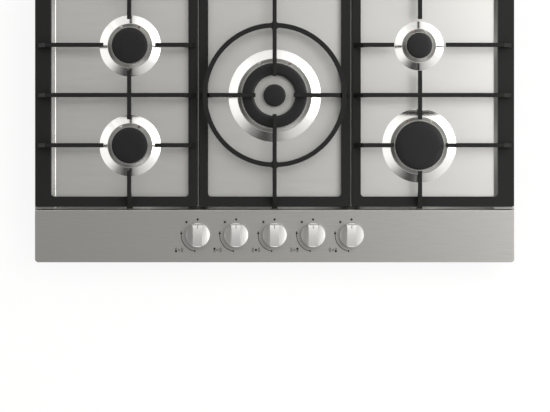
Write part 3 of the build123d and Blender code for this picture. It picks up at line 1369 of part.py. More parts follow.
LEAD_PLANS = []
for side in (-1, 1):
    front = (side * BURNER_X, FRONT_BURNER_Y, FRONT_SEAT[side])
    rear = (side * BURNER_X, REAR_BURNER_Y, REAR_SEAT[side])
    front_lane = side * (LANE_X + LEAD_LANE)
    rear_lane = side * (LANE_X - LEAD_LANE)
    LEAD_PLANS.append(lead_plan(side * 2 * KNOB_PITCH, front_lane, FRONT_LEAD_SLANT, front))
    LEAD_PLANS.append(lead_plan(side * KNOB_PITCH, rear_lane, REAR_LEAD_SLANT, rear))
wok_lane = WOK_SEAT_RADIUS + WOK_LEAD_LANE
LEAD_PLANS.append(lead_plan(0, wok_lane, REAR_LEAD_SLANT, (0, WOK_Y, WOK_SEAT_RADIUS)))
with BuildPart() as thermocouples:
    for plan in LEAD_PLANS:
        start = (plan[0][0], TAP_REAR_Y + VALVE_LENGTH, VALVE_Z)
        end = (*plan[-1], SEAT_Z - LEAD_END_DROP)
        tube([start] + [(px, py, VALVE_Z) for px, py in plan] + [end], LEAD_BEND, LEAD_RADIUS)
        with BuildSketch(Plane.XY.offset(SEAT_Z - THERMOCOUPLE_DROP)):
            with Locations(plan[-1]):
                Circle(THERMOCOUPLE_RADIUS)
        extrude(amount=THERMOCOUPLE_TOP_Z - SEAT_Z + THERMOCOUPLE_DROP)
save(thermocouples, "thermocouples")

print("parts written", len(os.listdir("parts")))
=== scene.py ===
"""Looks of a built-in five-burner gas cooktop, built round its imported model."""

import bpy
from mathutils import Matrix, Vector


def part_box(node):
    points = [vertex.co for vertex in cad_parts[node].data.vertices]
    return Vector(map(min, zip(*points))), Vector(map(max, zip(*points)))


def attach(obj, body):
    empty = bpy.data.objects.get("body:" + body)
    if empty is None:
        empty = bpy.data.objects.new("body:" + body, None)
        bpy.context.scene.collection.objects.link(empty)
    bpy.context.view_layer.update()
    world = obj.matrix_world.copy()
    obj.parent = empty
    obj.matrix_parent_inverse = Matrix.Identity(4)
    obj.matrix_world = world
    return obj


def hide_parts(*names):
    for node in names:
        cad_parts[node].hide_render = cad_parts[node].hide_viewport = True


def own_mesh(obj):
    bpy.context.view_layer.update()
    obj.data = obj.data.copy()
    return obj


bl_info = {
    "name": "Five-burner gas cooktop",
    "version": (1, 0, 0),
    "blender": (4, 5, 0),
    "location": "3D View > Sidebar > Cooktop",
    "description": "Steel panel, cast grates, burners, knobs, printed marks and a plain studio",
    "category": "Add Mesh",
}

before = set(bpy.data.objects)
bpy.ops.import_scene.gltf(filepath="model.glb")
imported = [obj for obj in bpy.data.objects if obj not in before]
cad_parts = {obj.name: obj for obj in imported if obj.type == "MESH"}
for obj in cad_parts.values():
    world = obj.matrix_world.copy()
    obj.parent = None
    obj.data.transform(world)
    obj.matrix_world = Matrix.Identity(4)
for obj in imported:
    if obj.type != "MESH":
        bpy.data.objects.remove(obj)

import math

import bmesh
import bpy
from bpy.props import FloatProperty, FloatVectorProperty, PointerProperty
from mathutils import Vector

MM = 0.001
BURNERS = ("front_left", "rear_left", "rear_right", "front_right", "wok")
GRATES = ("left", "centre", "right")
KNOBS = (1, 2, 3, 4, 5)
# Points that lie nearer than this count as one.
MERGE = 0.001 * MM
# Room for rounding when a face or an edge is found by its place.
SLACK = 0.1 * MM
ROUND_STEPS = 96
# Edges that bend by more degrees than this are rounded.
PRESSED_BEND, CUT_BEND, CAST_BEND, KNOB_BEND, SEAL_BEND = 14, 40, 25, 28, 60

# The panel, measured from its packed box.
PANEL_LOW, PANEL_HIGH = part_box("top_panel")
STRIP_TOP = PANEL_HIGH.z
STRIP_REAR_Y = PANEL_LOW.y + 94 * MM
LEDGE_TOP = STRIP_TOP - 2 * MM
BASIN_FLOOR = LEDGE_TOP - 6 * MM
RIM_BREADTH = 6.2 * MM
LEDGE_BREADTH = 29.8 * MM
STEP_BREADTH = 1.8 * MM
RING_BREADTH = 20 * MM
# The upward part of a face's normal: least for a face that looks up, on a ring's slope, and
# on the two faces of the rim's edge.
FACES_UP = 0.3
RING_SLOPE = (0.5, 0.995)
RIM_SIDE, RIM_TOP = 0.2, 0.5
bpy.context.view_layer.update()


def linear(code):
    """The linear colour of an sRGB hex value."""
    channels = [int(code[i : i + 2], 16) / 255 for i in (1, 3, 5)]
    return tuple(
        c / 12.92 if c <= 0.04045 else ((c + 0.055) / 1.055) ** 2.4 for c in channels
    ) + (1.0,)


def middle_of(node):
    """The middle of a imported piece's box."""
    low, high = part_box(node)
    return (low + high) / 2


# ---- Sizes and colours a user would change ----
def length(name, description, default):
    return FloatProperty(name=name, description=description, default=default, unit="LENGTH")


def colour(name, description, code):
    return FloatVectorProperty(
        name=name, description=description, default=linear(code), size=4, subtype="COLOR"
    )


class CooktopSizes(bpy.types.PropertyGroup):
    """Rounding and fine sizes of the visible pieces."""

    sheet_bend: length("Sheet bend", "Rounding of the control strip's rear bend", 2.0 * MM)
    basin_bend: length("Basin bend", "Softening of the basin's and rings' bends", 0.6 * MM)
    rim_edge: length("Rim edge", "Rounding of the panel's outer edge", 0.8 * MM)
    cast_edge: length("Cast edge", "Rounding of the grates' edges", 0.35 * MM)
    cap_edge: length("Cap edge", "Rounding of a burner cap's rim", 1.4 * MM)
    cap_dome: length("Cap dome", "Height of a burner cap's crowned top", 0.4 * MM)
    knob_edge: length("Knob edge", "Rounding of a knob's edges", 0.6 * MM)
    seal_edge: length("Seal edge", "Rounding of the foam strip's edges", 0.8 * MM)
    spring_wire: length("Spring wire", "Thickness of the tap springs' wire", 0.9 * MM)
    ink_thickness: length("Ink thickness", "Height of the printed marks", 0.1 * MM)
    line_width: length("Line width", "Width of the printed lines", 1.2 * MM)


class CooktopColours(bpy.types.PropertyGroup):
    """Colours of the finishes."""

    steel: colour("Brushed steel", "Panel and control strip", "#ADABA8")
    steel_shade: colour("Brushed steel shade", "Darker streaks of the panel", "#A3A19D")
    # Painted light: the basin is the strip's own sheet, painted lighter for the light it
    # catches.
    basin: colour("Basin steel", "Pressed basin under the grates", "#D3D2CE")
    # Painted highlight: the rings are the panel's own sheet, painted lighter than the strip.
    polish: colour("Polished steel", "Rims round the burners", "#E0DFDB")
    enamel: colour("Cap enamel", "Burner caps", "#101010")
    iron: colour("Grate enamel", "Cast-iron grates", "#131312")
    aluminium: colour("Crown aluminium", "Burner crowns", "#ADACA8")
    knob: colour("Knob metal", "Control knobs", "#E8E7E4")
    ink: colour("Printing ink", "Marks on the control strip", "#0C0C0C")
    zinc: colour("Zinc coat", "Box, brackets and clamps", "#B4B8BA")
    brass: colour("Brass", "Injectors, valves and spindles", "#C8A763")
    floor: colour("Floor", "Floor of the studio", "#EFEEEC")


# ---- Selection and mesh helpers ----
def clear_selection():
    """Leaves edit mode and deselects everything."""
    if bpy.context.object and bpy.context.object.mode != "OBJECT":
        bpy.ops.object.mode_set(mode="OBJECT")
    bpy.ops.object.select_all(action="DESELECT")


def work_on(piece, mode="OBJECT"):
    """Makes one piece the only selected and active one, in a mode."""
    clear_selection()
    piece.select_set(True)
    bpy.context.view_layer.objects.active = piece
    if mode != "OBJECT":
        bpy.ops.object.mode_set(mode=mode)


def pick(piece, kind, test):
    """In edit mode, selects the vertices, edges or faces that pass a test."""
    bpy.ops.mesh.select_mode(type=kind)
    bpy.ops.mesh.select_all(action="DESELECT")
    mesh = bmesh.from_edit_mesh(piece.data)
    items = {"VERT": mesh.verts, "EDGE": mesh.edges, "FACE": mesh.faces}[kind]
    found = [item for item in items if test(item)]
    for item in found:
        item.select_set(True)
    mesh.select_flush_mode()
    bmesh.update_edit_mesh(piece.data)
    return len(found)


def face_outwards():
    """In edit mode, turns all faces of the piece outwards."""
    bpy.ops.mesh.select_all(action="SELECT")
    bpy.ops.mesh.normals_make_consistent(inside=False)


def settle(piece):
    """Applies a piece's place, turn and size to its mesh."""
    work_on(piece)
    bpy.ops.object.transform_apply(location=True, rotation=True, scale=True)


def copy_of(node, name):
    """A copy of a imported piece: triangles merged, flat faces joined."""
    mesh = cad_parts[node].data.copy()
    mesh.materials.clear()
    piece = bpy.data.objects.new(name, mesh)
    bpy.context.scene.collection.objects.link(piece)
    work_on(piece, "EDIT")
    bpy.ops.mesh.customdata_custom_splitnormals_clear()
    bpy.ops.mesh.select_all(action="SELECT")
    bpy.ops.mesh.remove_doubles(threshold=MERGE)
    bpy.ops.mesh.dissolve_limited(angle_limit=math.radians(0.3))
    return piece


def round_edges(piece, width, segments, test, clamp=True):
    """In edit mode, rounds the edges that pass a test; a clamped width never overlaps."""
    if pick(piece, "EDGE", test):
        bpy.ops.mesh.bevel(
            offset=width, segments=segments, profile=0.5, affect="EDGES", clamp_overlap=clamp
        )


def edge_angle(edge):
    """The bend at an edge in degrees."""
    return math.degrees(edge.calc_face_angle(0))


def smooth(piece, degrees, weighted=False):
    """Smooth shading with creases kept above an angle; weighted keeps wide flat faces flat."""
    work_on(piece)
    bpy.ops.object.shade_smooth_by_angle(angle=math.radians(degrees))
    if weighted:
        bpy.ops.object.modifier_add(type="WEIGHTED_NORMAL")
        weigh = piece.modifiers[-1]
        weigh.mode = "FACE_AREA"
        weigh.keep_sharp = True
        bpy.ops.object.modifier_apply(modifier=weigh.name)


def turned_piece(name, x, y, profile, steps=ROUND_STEPS, closed=False):
    """An upright turned piece: a circle drawn out ring by ring along radii and heights."""
    clear_selection()
    radius, height = profile[0]
    bpy.ops.mesh.primitive_circle_add(vertices=steps, radius=radius, location=(x, y, height))
    piece = bpy.context.object
    piece.name = name
    settle(piece)
    work_on(piece, "EDIT")
    bpy.ops.mesh.select_mode(type="EDGE")
    bpy.ops.mesh.select_all(action="SELECT")
    if not closed:
        bpy.ops.mesh.edge_face_add()
        pick(piece, "EDGE", lambda e: True)
    for next_radius, next_height in profile[1:]:
        step = (0, 0, next_height - height)
        bpy.ops.mesh.extrude_edges_move(TRANSFORM_OT_translate={"value": step})
        grow = next_radius / radius
        bpy.ops.transform.resize(value=(grow, grow, 1), center_override=(x, y, next_height))
        radius, height = next_radius, next_height
    if closed:
        bpy.ops.mesh.select_all(action="SELECT")
        bpy.ops.mesh.remove_doubles(threshold=MERGE)
    else:
        bpy.ops.mesh.edge_face_add()
    face_outwards()
    return piece


def raised(piece, height):
    """Draws a flat shape up into a closed solid."""
    work_on(piece, "EDIT")
    bpy.ops.mesh.select_all(action="SELECT")
    bpy.ops.mesh.extrude_region_move(TRANSFORM_OT_translate={"value": (0, 0, height)})
    face_outwards()
    clear_selection()
    return piece


def joined(pieces, name):
    """Joins pieces into one."""
    clear_selection()
    for piece in pieces:
        piece.select_set(True)
    bpy.context.view_layer.objects.active = pieces[0]
    bpy.ops.object.join()
    pieces[0].name = name
    return pieces[0]


def hand_over(piece, body, material, replaced=()):
    """Gives a finished piece its material, body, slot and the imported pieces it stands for."""
    clear_selection()
    if not piece.data.materials:
        piece.data.materials.append(material)
    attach(piece, body)
    if replaced:
        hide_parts(*replaced)


# ---- Materials ----
def add_node(tree, kind, settings=None, inputs=None):
    """Adds a node with its settings; an input is a value or another node's output."""
    node = tree.nodes.new(kind)
    for name, value in (settings or {}).items():
        setattr(node, name, value)
    for key, value in (inputs or {}).items():
        if isinstance(value, bpy.types.NodeSocket):
            tree.links.new(value, node.inputs[key])
        else:
            node.inputs[key].default_value = value
    return node


# The span of a pattern's value that runs from one tone to the other.
PATTERN_LOW, PATTERN_HIGH = 0.3, 0.7


def finish(
    name, tone, shade, grain_mm, rough, relief_mm=0, stretch=(1, 1, 1), cells=False, **own
):
    """A finish whose tone, roughness and relief follow one pattern of a real size.

    No shade means an even tone, and no relief a flat surface."""
    material = bpy.data.materials.new(name)
    material.use_nodes = True
    tree = material.node_tree
    tree.nodes.clear()
    place = add_node(tree, "ShaderNodeTexCoord").outputs["Object"]
    scale = [s / (grain_mm * MM) for s in stretch]
    mapped = add_node(
        tree, "ShaderNodeMapping", None, {"Vector": place, "Scale": scale}
    ).outputs["Vector"]
    if cells:
        cell = add_node(
            tree, "ShaderNodeTexVoronoi", {"feature": "F1"}, {"Vector": mapped, "Scale": 1.0}
        )
        pattern = add_node(
            tree, "ShaderNodeSeparateColor", None, {"Color": cell.outputs["Color"]}
        ).outputs["Red"]
    else:
        pattern = add_node(
            tree,
            "ShaderNodeTexNoise",
            None,
            {"Vector": mapped, "Scale": 1.0, "Detail": 3.0, "Roughness": 0.6},
        ).outputs["Fac"]
    level = add_node(
        tree,
        "ShaderNodeMapRange",
        None,
        {"Value": pattern, "From Min": PATTERN_LOW, "From Max": PATTERN_HIGH},
    ).outputs["Result"]
    tone, shade = (linear(c) if isinstance(c, str) else c and tuple(c) for c in (tone, shade))
    inputs = {"Base Color": tone, **own}
    if shade:
        inputs["Base Color"] = add_node(
            tree, "ShaderNodeMix", {"data_type": "RGBA"}, {0: level, 6: tone, 7: shade}
        ).outputs[2]
    inputs["Roughness"] = add_node(
        tree,
        "ShaderNodeMapRange",
        None,
        {"Value": level, "To Min": rough[0], "To Max": rough[1]},
    ).outputs["Result"]
    if relief_mm:
        inputs["Normal"] = add_node(
            tree,
            "ShaderNodeBump",
            None,
            {"Height": level, "Distance": relief_mm * MM, "Strength": 1.0},
        ).outputs["Normal"]
    shader = add_node(tree, "ShaderNodeBsdfPrincipled", None, inputs)
    add_node(
        tree, "ShaderNodeOutputMaterial", None, {"Surface": shader.outputs["BSDF"]}
    )
    return material


def brushed_stainless(colours):
    """Stainless sheet, brushed along X with 180 grit: fine streaks, light spread sideways.

    The real scratches are 0.1 mm apart; they are drawn 1.4 mm apart so that they show."""
    return finish(
        "brushed_stainless_sheet", colours.steel, colours.steel_shade, 1.4,
        (0.33, 0.39), 0.010, stretch=(0.035, 1, 1), Metallic=1.0,
    )


def basin_steel_painted_lighter(colours):
    """The same sheet in the pressed basin, smoother from the drawing press, and painted lighter
    than the strip: a painted brightness for the light the basin catches.
    """
    return finish(
        "basin_sheet_painted_lighter", colours.basin, None, 1.4,
        (0.29, 0.33), 0.006, stretch=(0.03, 1, 1), Metallic=1.0,
    )


def polished_ring_steel_painted_lighter(colours):
    """Stainless sheet polished where it rises round a burner: near mirror, faint wear, and
    painted lighter than the strip as a painted highlight.
    """
    return finish(
        "polished_ring_sheet_painted_lighter", colours.polish, None, 9.0,
        (0.13, 0.17), Metallic=1.0,
    )


def sand_cast_enamel(colours):
    """Cast iron under matt black enamel: the sand's grain of 1.5 mm shows through softly."""
    return finish(
        "matt_enamel_on_cast_iron", colours.iron, "#171716", 1.5,
        (0.46, 0.58), 0.04, **{"Specular IOR Level": 0.17},
    )


def vitreous_enamel(colours):
    """Black vitreous enamel on pressed steel: smooth, faint orange peel about 4 mm wide."""
    return finish(
        "black_vitreous_enamel", colours.enamel, "#151515", 4.0,
        (0.30, 0.38), 0.006, **{"Specular IOR Level": 0.28},
    )


def die_cast_aluminium(colours):
    """Die-cast aluminium, tumbled: dull grey with a fine grain of 0.8 mm."""
    return finish(
        "tumbled_die_cast_aluminium", colours.aluminium, "#9B9A96", 0.8,
        (0.36, 0.50), 0.02, Metallic=1.0,
    )


def satin_nickel(colours):
    """Zinc casting with satin nickel plate: even and silky, a faint tumbled grain of 1 mm."""
    return finish(
        "satin_nickel_plate", colours.knob, "#E3E2DF", 1.0,
        (0.31, 0.34), 0.0006, Metallic=1.0,
    )


def screen_ink(colours):
    """Screen-printed two-part ink: black and dull, slightly uneven from a 0.5 mm mesh."""
    return finish(
        "screen_print_ink", colours.ink, "#121212", 0.5,
        (0.5, 0.6), 0.005, **{"Specular IOR Level": 0.2},
    )


def galvanised_sheet(colours):
    """Hot-dip galvanised sheet: spangle of crystals about 9 mm across."""
    return finish(
        "galvanised_sheet", colours.zinc, "#9EA3A6", 9.0,
        (0.34, 0.50), 0.004, cells=True, Metallic=1.0,
    )


def turned_brass(colours):
    """Turned brass: fine tool rings and a warm yellow."""
    return finish(
        "turned_brass", colours.brass, "#B48F4C", 0.8,
        (0.24, 0.36), 0.01, stretch=(0.2, 0.2, 1), Metallic=1.0,
    )


# Tone, shade, grain in mm, least and most roughness, relief in mm, and shader inputs.
PLAIN_FINISHES = {
    # Zinc-plated fasteners: bluish bright metal, handling marks 2 mm wide.
    "bright_zinc_plate": ("#C9CCD2", "#B2B6BE", 2.0, (0.26, 0.38), 0.006, {"Metallic": 1.0}),
    # Black expanded rubber strip: closed cells of 1.2 mm, fully dull.
    "expanded_rubber": ("#1C1C1C", "#262626", 1.2, (0.85, 0.95), 0.12, {}),
    # Moulded silicone rubber: even black with a soft sheen.
    "moulded_silicone": ("#191919", "#222222", 2.5, (0.55, 0.66), 0.01, {}),
    # Zinc-plated steel tube of the manifold, with a trace of yellow passivation.
    "passivated_steel_tube": (
        "#CFCAB4", "#BDB9A8", 5.0, (0.26, 0.40), 0.006, {"Metallic": 1.0}
    ),
    # Drawn aluminium tube: soft white metal with drawing marks.
    "drawn_aluminium": ("#CDCECF", "#BCBDBE", 3.0, (0.30, 0.42), 0.006, {"Metallic": 1.0}),
    # Sand-blasted aluminium casting of taps and burner cups.
    "blasted_aluminium": ("#A6A7A8", "#959697", 0.9, (0.46, 0.60), 0.03, {"Metallic": 1.0}),
    # Black moulded polyester with a spark-eroded texture of 0.7 mm.
    "moulded_polyester": ("#2E2F31", "#36373A", 0.7, (0.50, 0.62), 0.02, {}),
    # Natural nylon of the switch housings: creamy white, slightly waxy.
    "moulded_nylon": ("#DAD7CB", "#CFCBBE", 2.0, (0.40, 0.50), 0.008, {}),
    # Silicone-sheathed high-tension wire: chalky white.
    "silicone_sheath": ("#DEDAD0", "#D2CDC2", 1.5, (0.55, 0.65), 0.01, {}),
    # Copper capillary tube: pink metal darkened by handling.
    "drawn_copper": ("#A08672", "#8C7260", 2.0, (0.28, 0.42), 0.006, {"Metallic": 1.0}),
    # Patented spring wire: grey steel with a thin oil film.
    "spring_wire": ("#A9ABAF", "#989A9E", 1.0, (0.24, 0.34), 0.004, {"Metallic": 1.0}),
    # Glazed alumina of the spark electrodes: ivory white and glossy.
    "glazed_alumina": ("#EFEBE0", "#E6E1D4", 3.0, (0.12, 0.20), 0.004, {}),
    # Heat-proof nickel alloy of the electrode pins, blued by the flame.
    "nickel_alloy": ("#9A958F", "#8B8791", 1.2, (0.26, 0.38), 0.006, {"Metallic": 1.0}),
}

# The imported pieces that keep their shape, by finish.
CARRIED_NODES = {
    "galvanised_sheet": ("base_tray", "panel_brackets", "worktop_clamps"),
    "bright_zinc_plate": ("clamp_screws", "casing_screws", "burner_screws"),
    "moulded_silicone": ("knob_gaskets", "inlet_washer", "grate_pads_left",
                         "grate_pads_centre", "grate_pads_right"),
    "passivated_steel_tube": ("gas_rail", "inlet_elbow"),
    "drawn_aluminium": ("burner_pipes",),
    "blasted_aluminium": ("burner_cups", "tap_bodies"),
    "turned_brass": ("injectors", "safety_valves")
    + tuple("tap_spindle_%d" % n for n in KNOBS)
    + tuple("tap_cone_%d" % n for n in KNOBS),
    "moulded_polyester": ("spark_generator", "terminal_box"),
    "moulded_nylon": ("tap_switches",),
    "silicone_sheath": ("ignition_wires",),
    "drawn_copper": ("thermocouples",),
    "tumbled_die_cast_aluminium": tuple("burner_crown_" + place for place in BURNERS),
}


def plain_finish(name):
    """One of the plain finishes, made once."""
    if name in bpy.data.materials:
        return bpy.data.materials[name]
    tone, shade, grain_mm, rough, relief_mm, own = PLAIN_FINISHES[name]
    return finish(name, tone, shade, grain_mm, rough, relief_mm, **own)


# ---- Operators ----
class CooktopPanel(bpy.types.Operator):
    """Pressed panel: soft bends, brushed face and polished rims round the burners; the basin
    and the rims are painted lighter than the strip, as painted light

    The bends are rounded in three groups, because a clamped bevel narrows all the edges that
    it is given to what fits the tightest one."""

    bl_idname = "cooktop.panel"
    bl_label = "Steel panel"

    def execute(self, context):
        sizes, colours = context.scene.cooktop_sizes, context.scene.cooktop_colours
        piece = copy_of("top_panel", "steel_panel")

        def at_rim(vertex):
            x, y, z = vertex.co
            aside = min(PANEL_HIGH.x - abs(x), PANEL_HIGH.y - abs(y))
            return aside < RIM_BREADTH and z > LEDGE_TOP - SLACK

        def is_bend(edge):
            faces_up = all(face.normal.z > FACES_UP for face in edge.link_faces)
            return faces_up and edge_angle(edge) > PRESSED_BEND

        def is_strip_edge(edge):
            return is_bend(edge) and all(
                abs(v.co.y - STRIP_REAR_Y) < SLACK and v.co.z > STRIP_TOP - SLACK
                for v in edge.verts
            )

        def is_basin_bend(edge):
            return is_bend(edge) and all(
                abs(v.co.x) < PANEL_HIGH.x - LEDGE_BREADTH
                and v.co.y > STRIP_REAR_Y + STEP_BREADTH
                and v.co.z < LEDGE_TOP + SLACK
                for v in edge.verts
            )

        def is_rim(edge):
            upward = sorted(face.normal.z for face in edge.link_faces)
            return (
                all(at_rim(v) for v in edge.verts)
                and abs(upward[0]) < RIM_SIDE
                and upward[-1] > RIM_TOP
                and edge_angle(edge) > CUT_BEND
            )

        round_edges(piece, sizes.basin_bend, 2, is_basin_bend)
        round_edges(piece, sizes.sheet_bend, 4, is_strip_edge)
        round_edges(piece, sizes.rim_edge, 3, is_rim)
        rings = []
        for place in BURNERS:
            low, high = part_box("burner_crown_" + place)
            rings.append(((low + high) / 2, (high.x - low.x) / 2 + RING_BREADTH))

        def on_ring(face):
            centre = face.calc_center_median()
            return (
                BASIN_FLOOR + SLACK <= centre.z <= LEDGE_TOP - 2 * SLACK
                and RING_SLOPE[0] < face.normal.z < RING_SLOPE[1]
                and any((centre - middle).xy.length < reach for middle, reach in rings)
            )

        def in_basin(face):
            height = face.calc_center_median().z
            return (
                BASIN_FLOOR - 2 * SLACK < height < LEDGE_TOP - 3 * SLACK
                and face.normal.z > FACES_UP
            )

        for material in (brushed_stainless, basin_steel_painted_lighter, polished_ring_steel_painted_lighter):
            piece.data.materials.append(material(colours))
        # The basin and the rings get steels painted lighter than the strip, as painted light.
        for slot, test in ((1, in_basin), (2, on_ring)):
            pick(piece, "FACE", test)
            piece.active_material_index = slot
            bpy.ops.object.material_slot_assign()
        smooth(piece, 32, weighted=True)
        hand_over(piece, "root", None, ["top_panel"])
        return {"FINISHED"}


class CooktopGrates(bpy.types.Operator):
    """Cast grates with rounded edges"""

    bl_idname = "cooktop.grates"
    bl_label = "Cast grates"

    def execute(self, context):
        sizes, colours = context.scene.cooktop_sizes, context.scene.cooktop_colours
        enamel = sand_cast_enamel(colours)
        for side in GRATES:
            piece = copy_of("grate_" + side, "cast_grate_" + side)
            # Unclamped, because the clamp would thin this small rounding everywhere to suit
            # the shortest edge.
            round_edges(
                piece, sizes.cast_edge, 2, lambda e: edge_angle(e) > CAST_BEND, clamp=False
            )
            smooth(piece, 40, weighted=True)
            hand_over(piece, "grate_" + side, enamel, ["grate_" + side])
        return {"FINISHED"}


# A cap's plate, and the lip under it that sits in the crown.
CAP_PLATE = 5 * MM
CAP_LIP_INSET = 4.7 * MM
CAP_LIP_WALL = 2 * MM
CAP_LOWER_EDGE = 0.5 * MM
CAP_RIM_STEPS = 4
# The wok burner's ring cap.
WOK_LIP_INSET = 1.8 * MM
WOK_HOLE_RADIUS = 36.5 * MM
WOK_CROWN_INSET = 6 * MM


class CooktopCaps(bpy.types.Operator):
    """Enamelled burner caps with crowned tops and round rims"""

    bl_idname = "cooktop.caps"
    bl_label = "Burner caps"

    def execute(self, context):
        sizes, colours = context.scene.cooktop_sizes, context.scene.cooktop_colours
        enamel = vitreous_enamel(colours)
        edge, dome = sizes.cap_edge, sizes.cap_dome
        plans = [("burner_cap_" + place, "cap_" + place) for place in BURNERS]
        plans.append(("wok_inner_cap", "cap_wok_inner"))
        for node, body in plans:
            is_ring = node == "burner_cap_wok"
            low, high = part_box(node)
            centre = (low + high) / 2
            radius = (high.x - low.x) / 2
            under = high.z - CAP_PLATE
            lip = radius - (WOK_LIP_INSET if is_ring else CAP_LIP_INSET)
            rim = [(radius - CAP_LOWER_EDGE, under), (radius, under + CAP_LOWER_EDGE)]
            for i in range(CAP_RIM_STEPS + 1):
                turn = math.radians(90 * i / CAP_RIM_STEPS)
                rim.append(
                    (
                        radius - edge * (1 - math.cos(turn)),
                        high.z - dome - edge * (1 - math.sin(turn)),
                    )
                )
            skirt = [
                (lip - CAP_LIP_WALL, under), (lip - CAP_LIP_WALL, low.z), (lip, low.z),
                (lip, under),
            ]
            if is_ring:
                hole, brim = WOK_HOLE_RADIUS, high.z - dome * 0.5
                profile = [
                    (hole, under), *skirt, *rim,
                    (radius - WOK_CROWN_INSET, high.z - dome * 0.3),
                    (hole + WOK_CROWN_INSET, high.z), (hole + edge, brim),
                    (hole + edge * 0.3, brim - edge * 0.3), (hole, brim - edge),
                    (hole, under),
                ]
            else:
                profile = [
                    *skirt, *rim, (radius * 0.75, high.z - dome * 0.4),
                    (radius * 0.4, high.z - dome * 0.1), (radius * 0.12, high.z),
                ]
            piece = turned_piece(
                "enamel_" + node, centre.x, centre.y, profile, closed=is_ring
            )
            smooth(piece, 40)
            hand_over(piece, body, enamel, [node])
        return {"FINISHED"}


# The knob's skirt and hub keep their packed edges.
KNOB_SKIRT = 5 * MM
KNOB_HUB_RADIUS = 6 * MM
# The pointer line, set into the top of the grip bar.
POINTER_WIDTH = 0.84 * MM
POINTER_LENGTH = 5.9 * MM
POINTER_INSET = 7.2 * MM
POINTER_BASE = 1.12 * MM
POINTER_HEIGHT = 0.22 * MM


class CooktopKnobs(bpy.types.Operator):
    """Knobs with rounded edges and a dark pointer line"""

    bl_idname = "cooktop.knobs"
    bl_label = "Control knobs"

    def execute(self, context):
        sizes, colours = context.scene.cooktop_sizes, context.scene.cooktop_colours
        nickel = satin_nickel(colours)
        ink = screen_ink(colours)
        for number in KNOBS:
            node = "knob_%d" % number
            low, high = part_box(node)
            middle = (low + high) / 2
            piece = copy_of(node, "nickel_knob_%d" % number)
            round_edges(
                piece,
                sizes.knob_edge,
                3,
                lambda e: edge_angle(e) > KNOB_BEND
                and min(v.co.z for v in e.verts) > low.z + KNOB_SKIRT
                and max((v.co - middle).xy.length for v in e.verts) > KNOB_HUB_RADIUS,
            )
            smooth(piece, 35, weighted=True)
            hand_over(piece, node, nickel, [node])
            clear_selection()
            bpy.ops.mesh.primitive_plane_add(
                size=1, location=(middle.x, high.y - POINTER_INSET, high.z - POINTER_BASE)
            )
            line = bpy.context.object
            line.name = "knob_pointer_%d" % number
            line.scale = (POINTER_WIDTH, POINTER_LENGTH, 1)
            settle(line)
            raised(line, POINTER_HEIGHT)
            smooth(line, 30)
            hand_over(line, node, ink)
        return {"FINISHED"}


# How far a printed mark reaches down into the panel, so that no gap shows.
INK_ROOT = 0.02 * MM
# The marks round a knob: distance from its middle, and degrees turned left from the rear.
OFF_DOT_AT = 27.8 * MM
OFF_DOT_RADIUS = 2.0 * MM
SPARK_AT, SPARK_TURN = 30.8 * MM, 41
SPARK_RADIUS, SPARK_CORNERS, SPARK_WAIST = 3.2 * MM, 16, 0.45
FLAME_AT, FLAME_RADIUS, FLAME_CORNERS = 29.6 * MM, 1.7 * MM, 20
# A flame's points past this are drawn up into its tip.
FLAME_TIP = 1.6 * MM
# The full and the low flame: degrees, and size.
FLAMES = ((84.8, 1.1), (169.8, 0.8))
ARC_RADIUS, ARC_TURN, ARC_SWEEP = 29.5 * MM, 89, 78
# The little plan of the five burners, in front of a knob and left of it.
PLAN_PLACE = Vector((-33.5, -26.9)) * MM
PLAN_PITCH = Vector((5.4, 2.1)) * MM
PLAN_SPOTS = {1: (-1, -1), 2: (-1, 1), 3: (0, 0), 4: (1, 1), 5: (1, -1)}
PLAN_DOT_RADIUS = 2.1 * MM
PLAN_RING_RADIUS, PLAN_RING_STEPS, PLAN_RING_WEIGHT = 1.6 * MM, 20, 0.6


def flat_disc(x, y, radius, corners=24):
    """A flat filled circle on the control strip."""
    clear_selection()
    bpy.ops.mesh.primitive_circle_add(
        vertices=corners,
        radius=radius,
        fill_type="NGON",
        location=(x, y, STRIP_TOP - INK_ROOT),
    )
    settle(bpy.context.object)
    return bpy.context.object


def arc_line(x, y, radius, start, sweep, width, thickness, steps=24):
    """A printed line along an arc round (x, y), swept clockwise; degrees from +X."""
    clear_selection()
    angle = math.radians(start)
    bpy.ops.mesh.primitive_plane_add(
        size=1,
        location=(x + radius * math.cos(angle), y + radius * math.sin(angle), STRIP_TOP),
        rotation=(math.radians(90), 0, angle),
    )
    piece = bpy.context.object
    piece.scale = (width, thickness * 2, 1)
    settle(piece)
    work_on(piece, "EDIT")
    bpy.ops.mesh.select_all(action="SELECT")
    bpy.ops.mesh.spin(
        steps=steps, angle=-math.radians(sweep), center=(x, y, STRIP_TOP), axis=(0, 0, 1)
    )
    bpy.ops.mesh.select_all(action="SELECT")
    bpy.ops.mesh.remove_doubles(threshold=MERGE)
    face_outwards()
    clear_selection()
    return piece


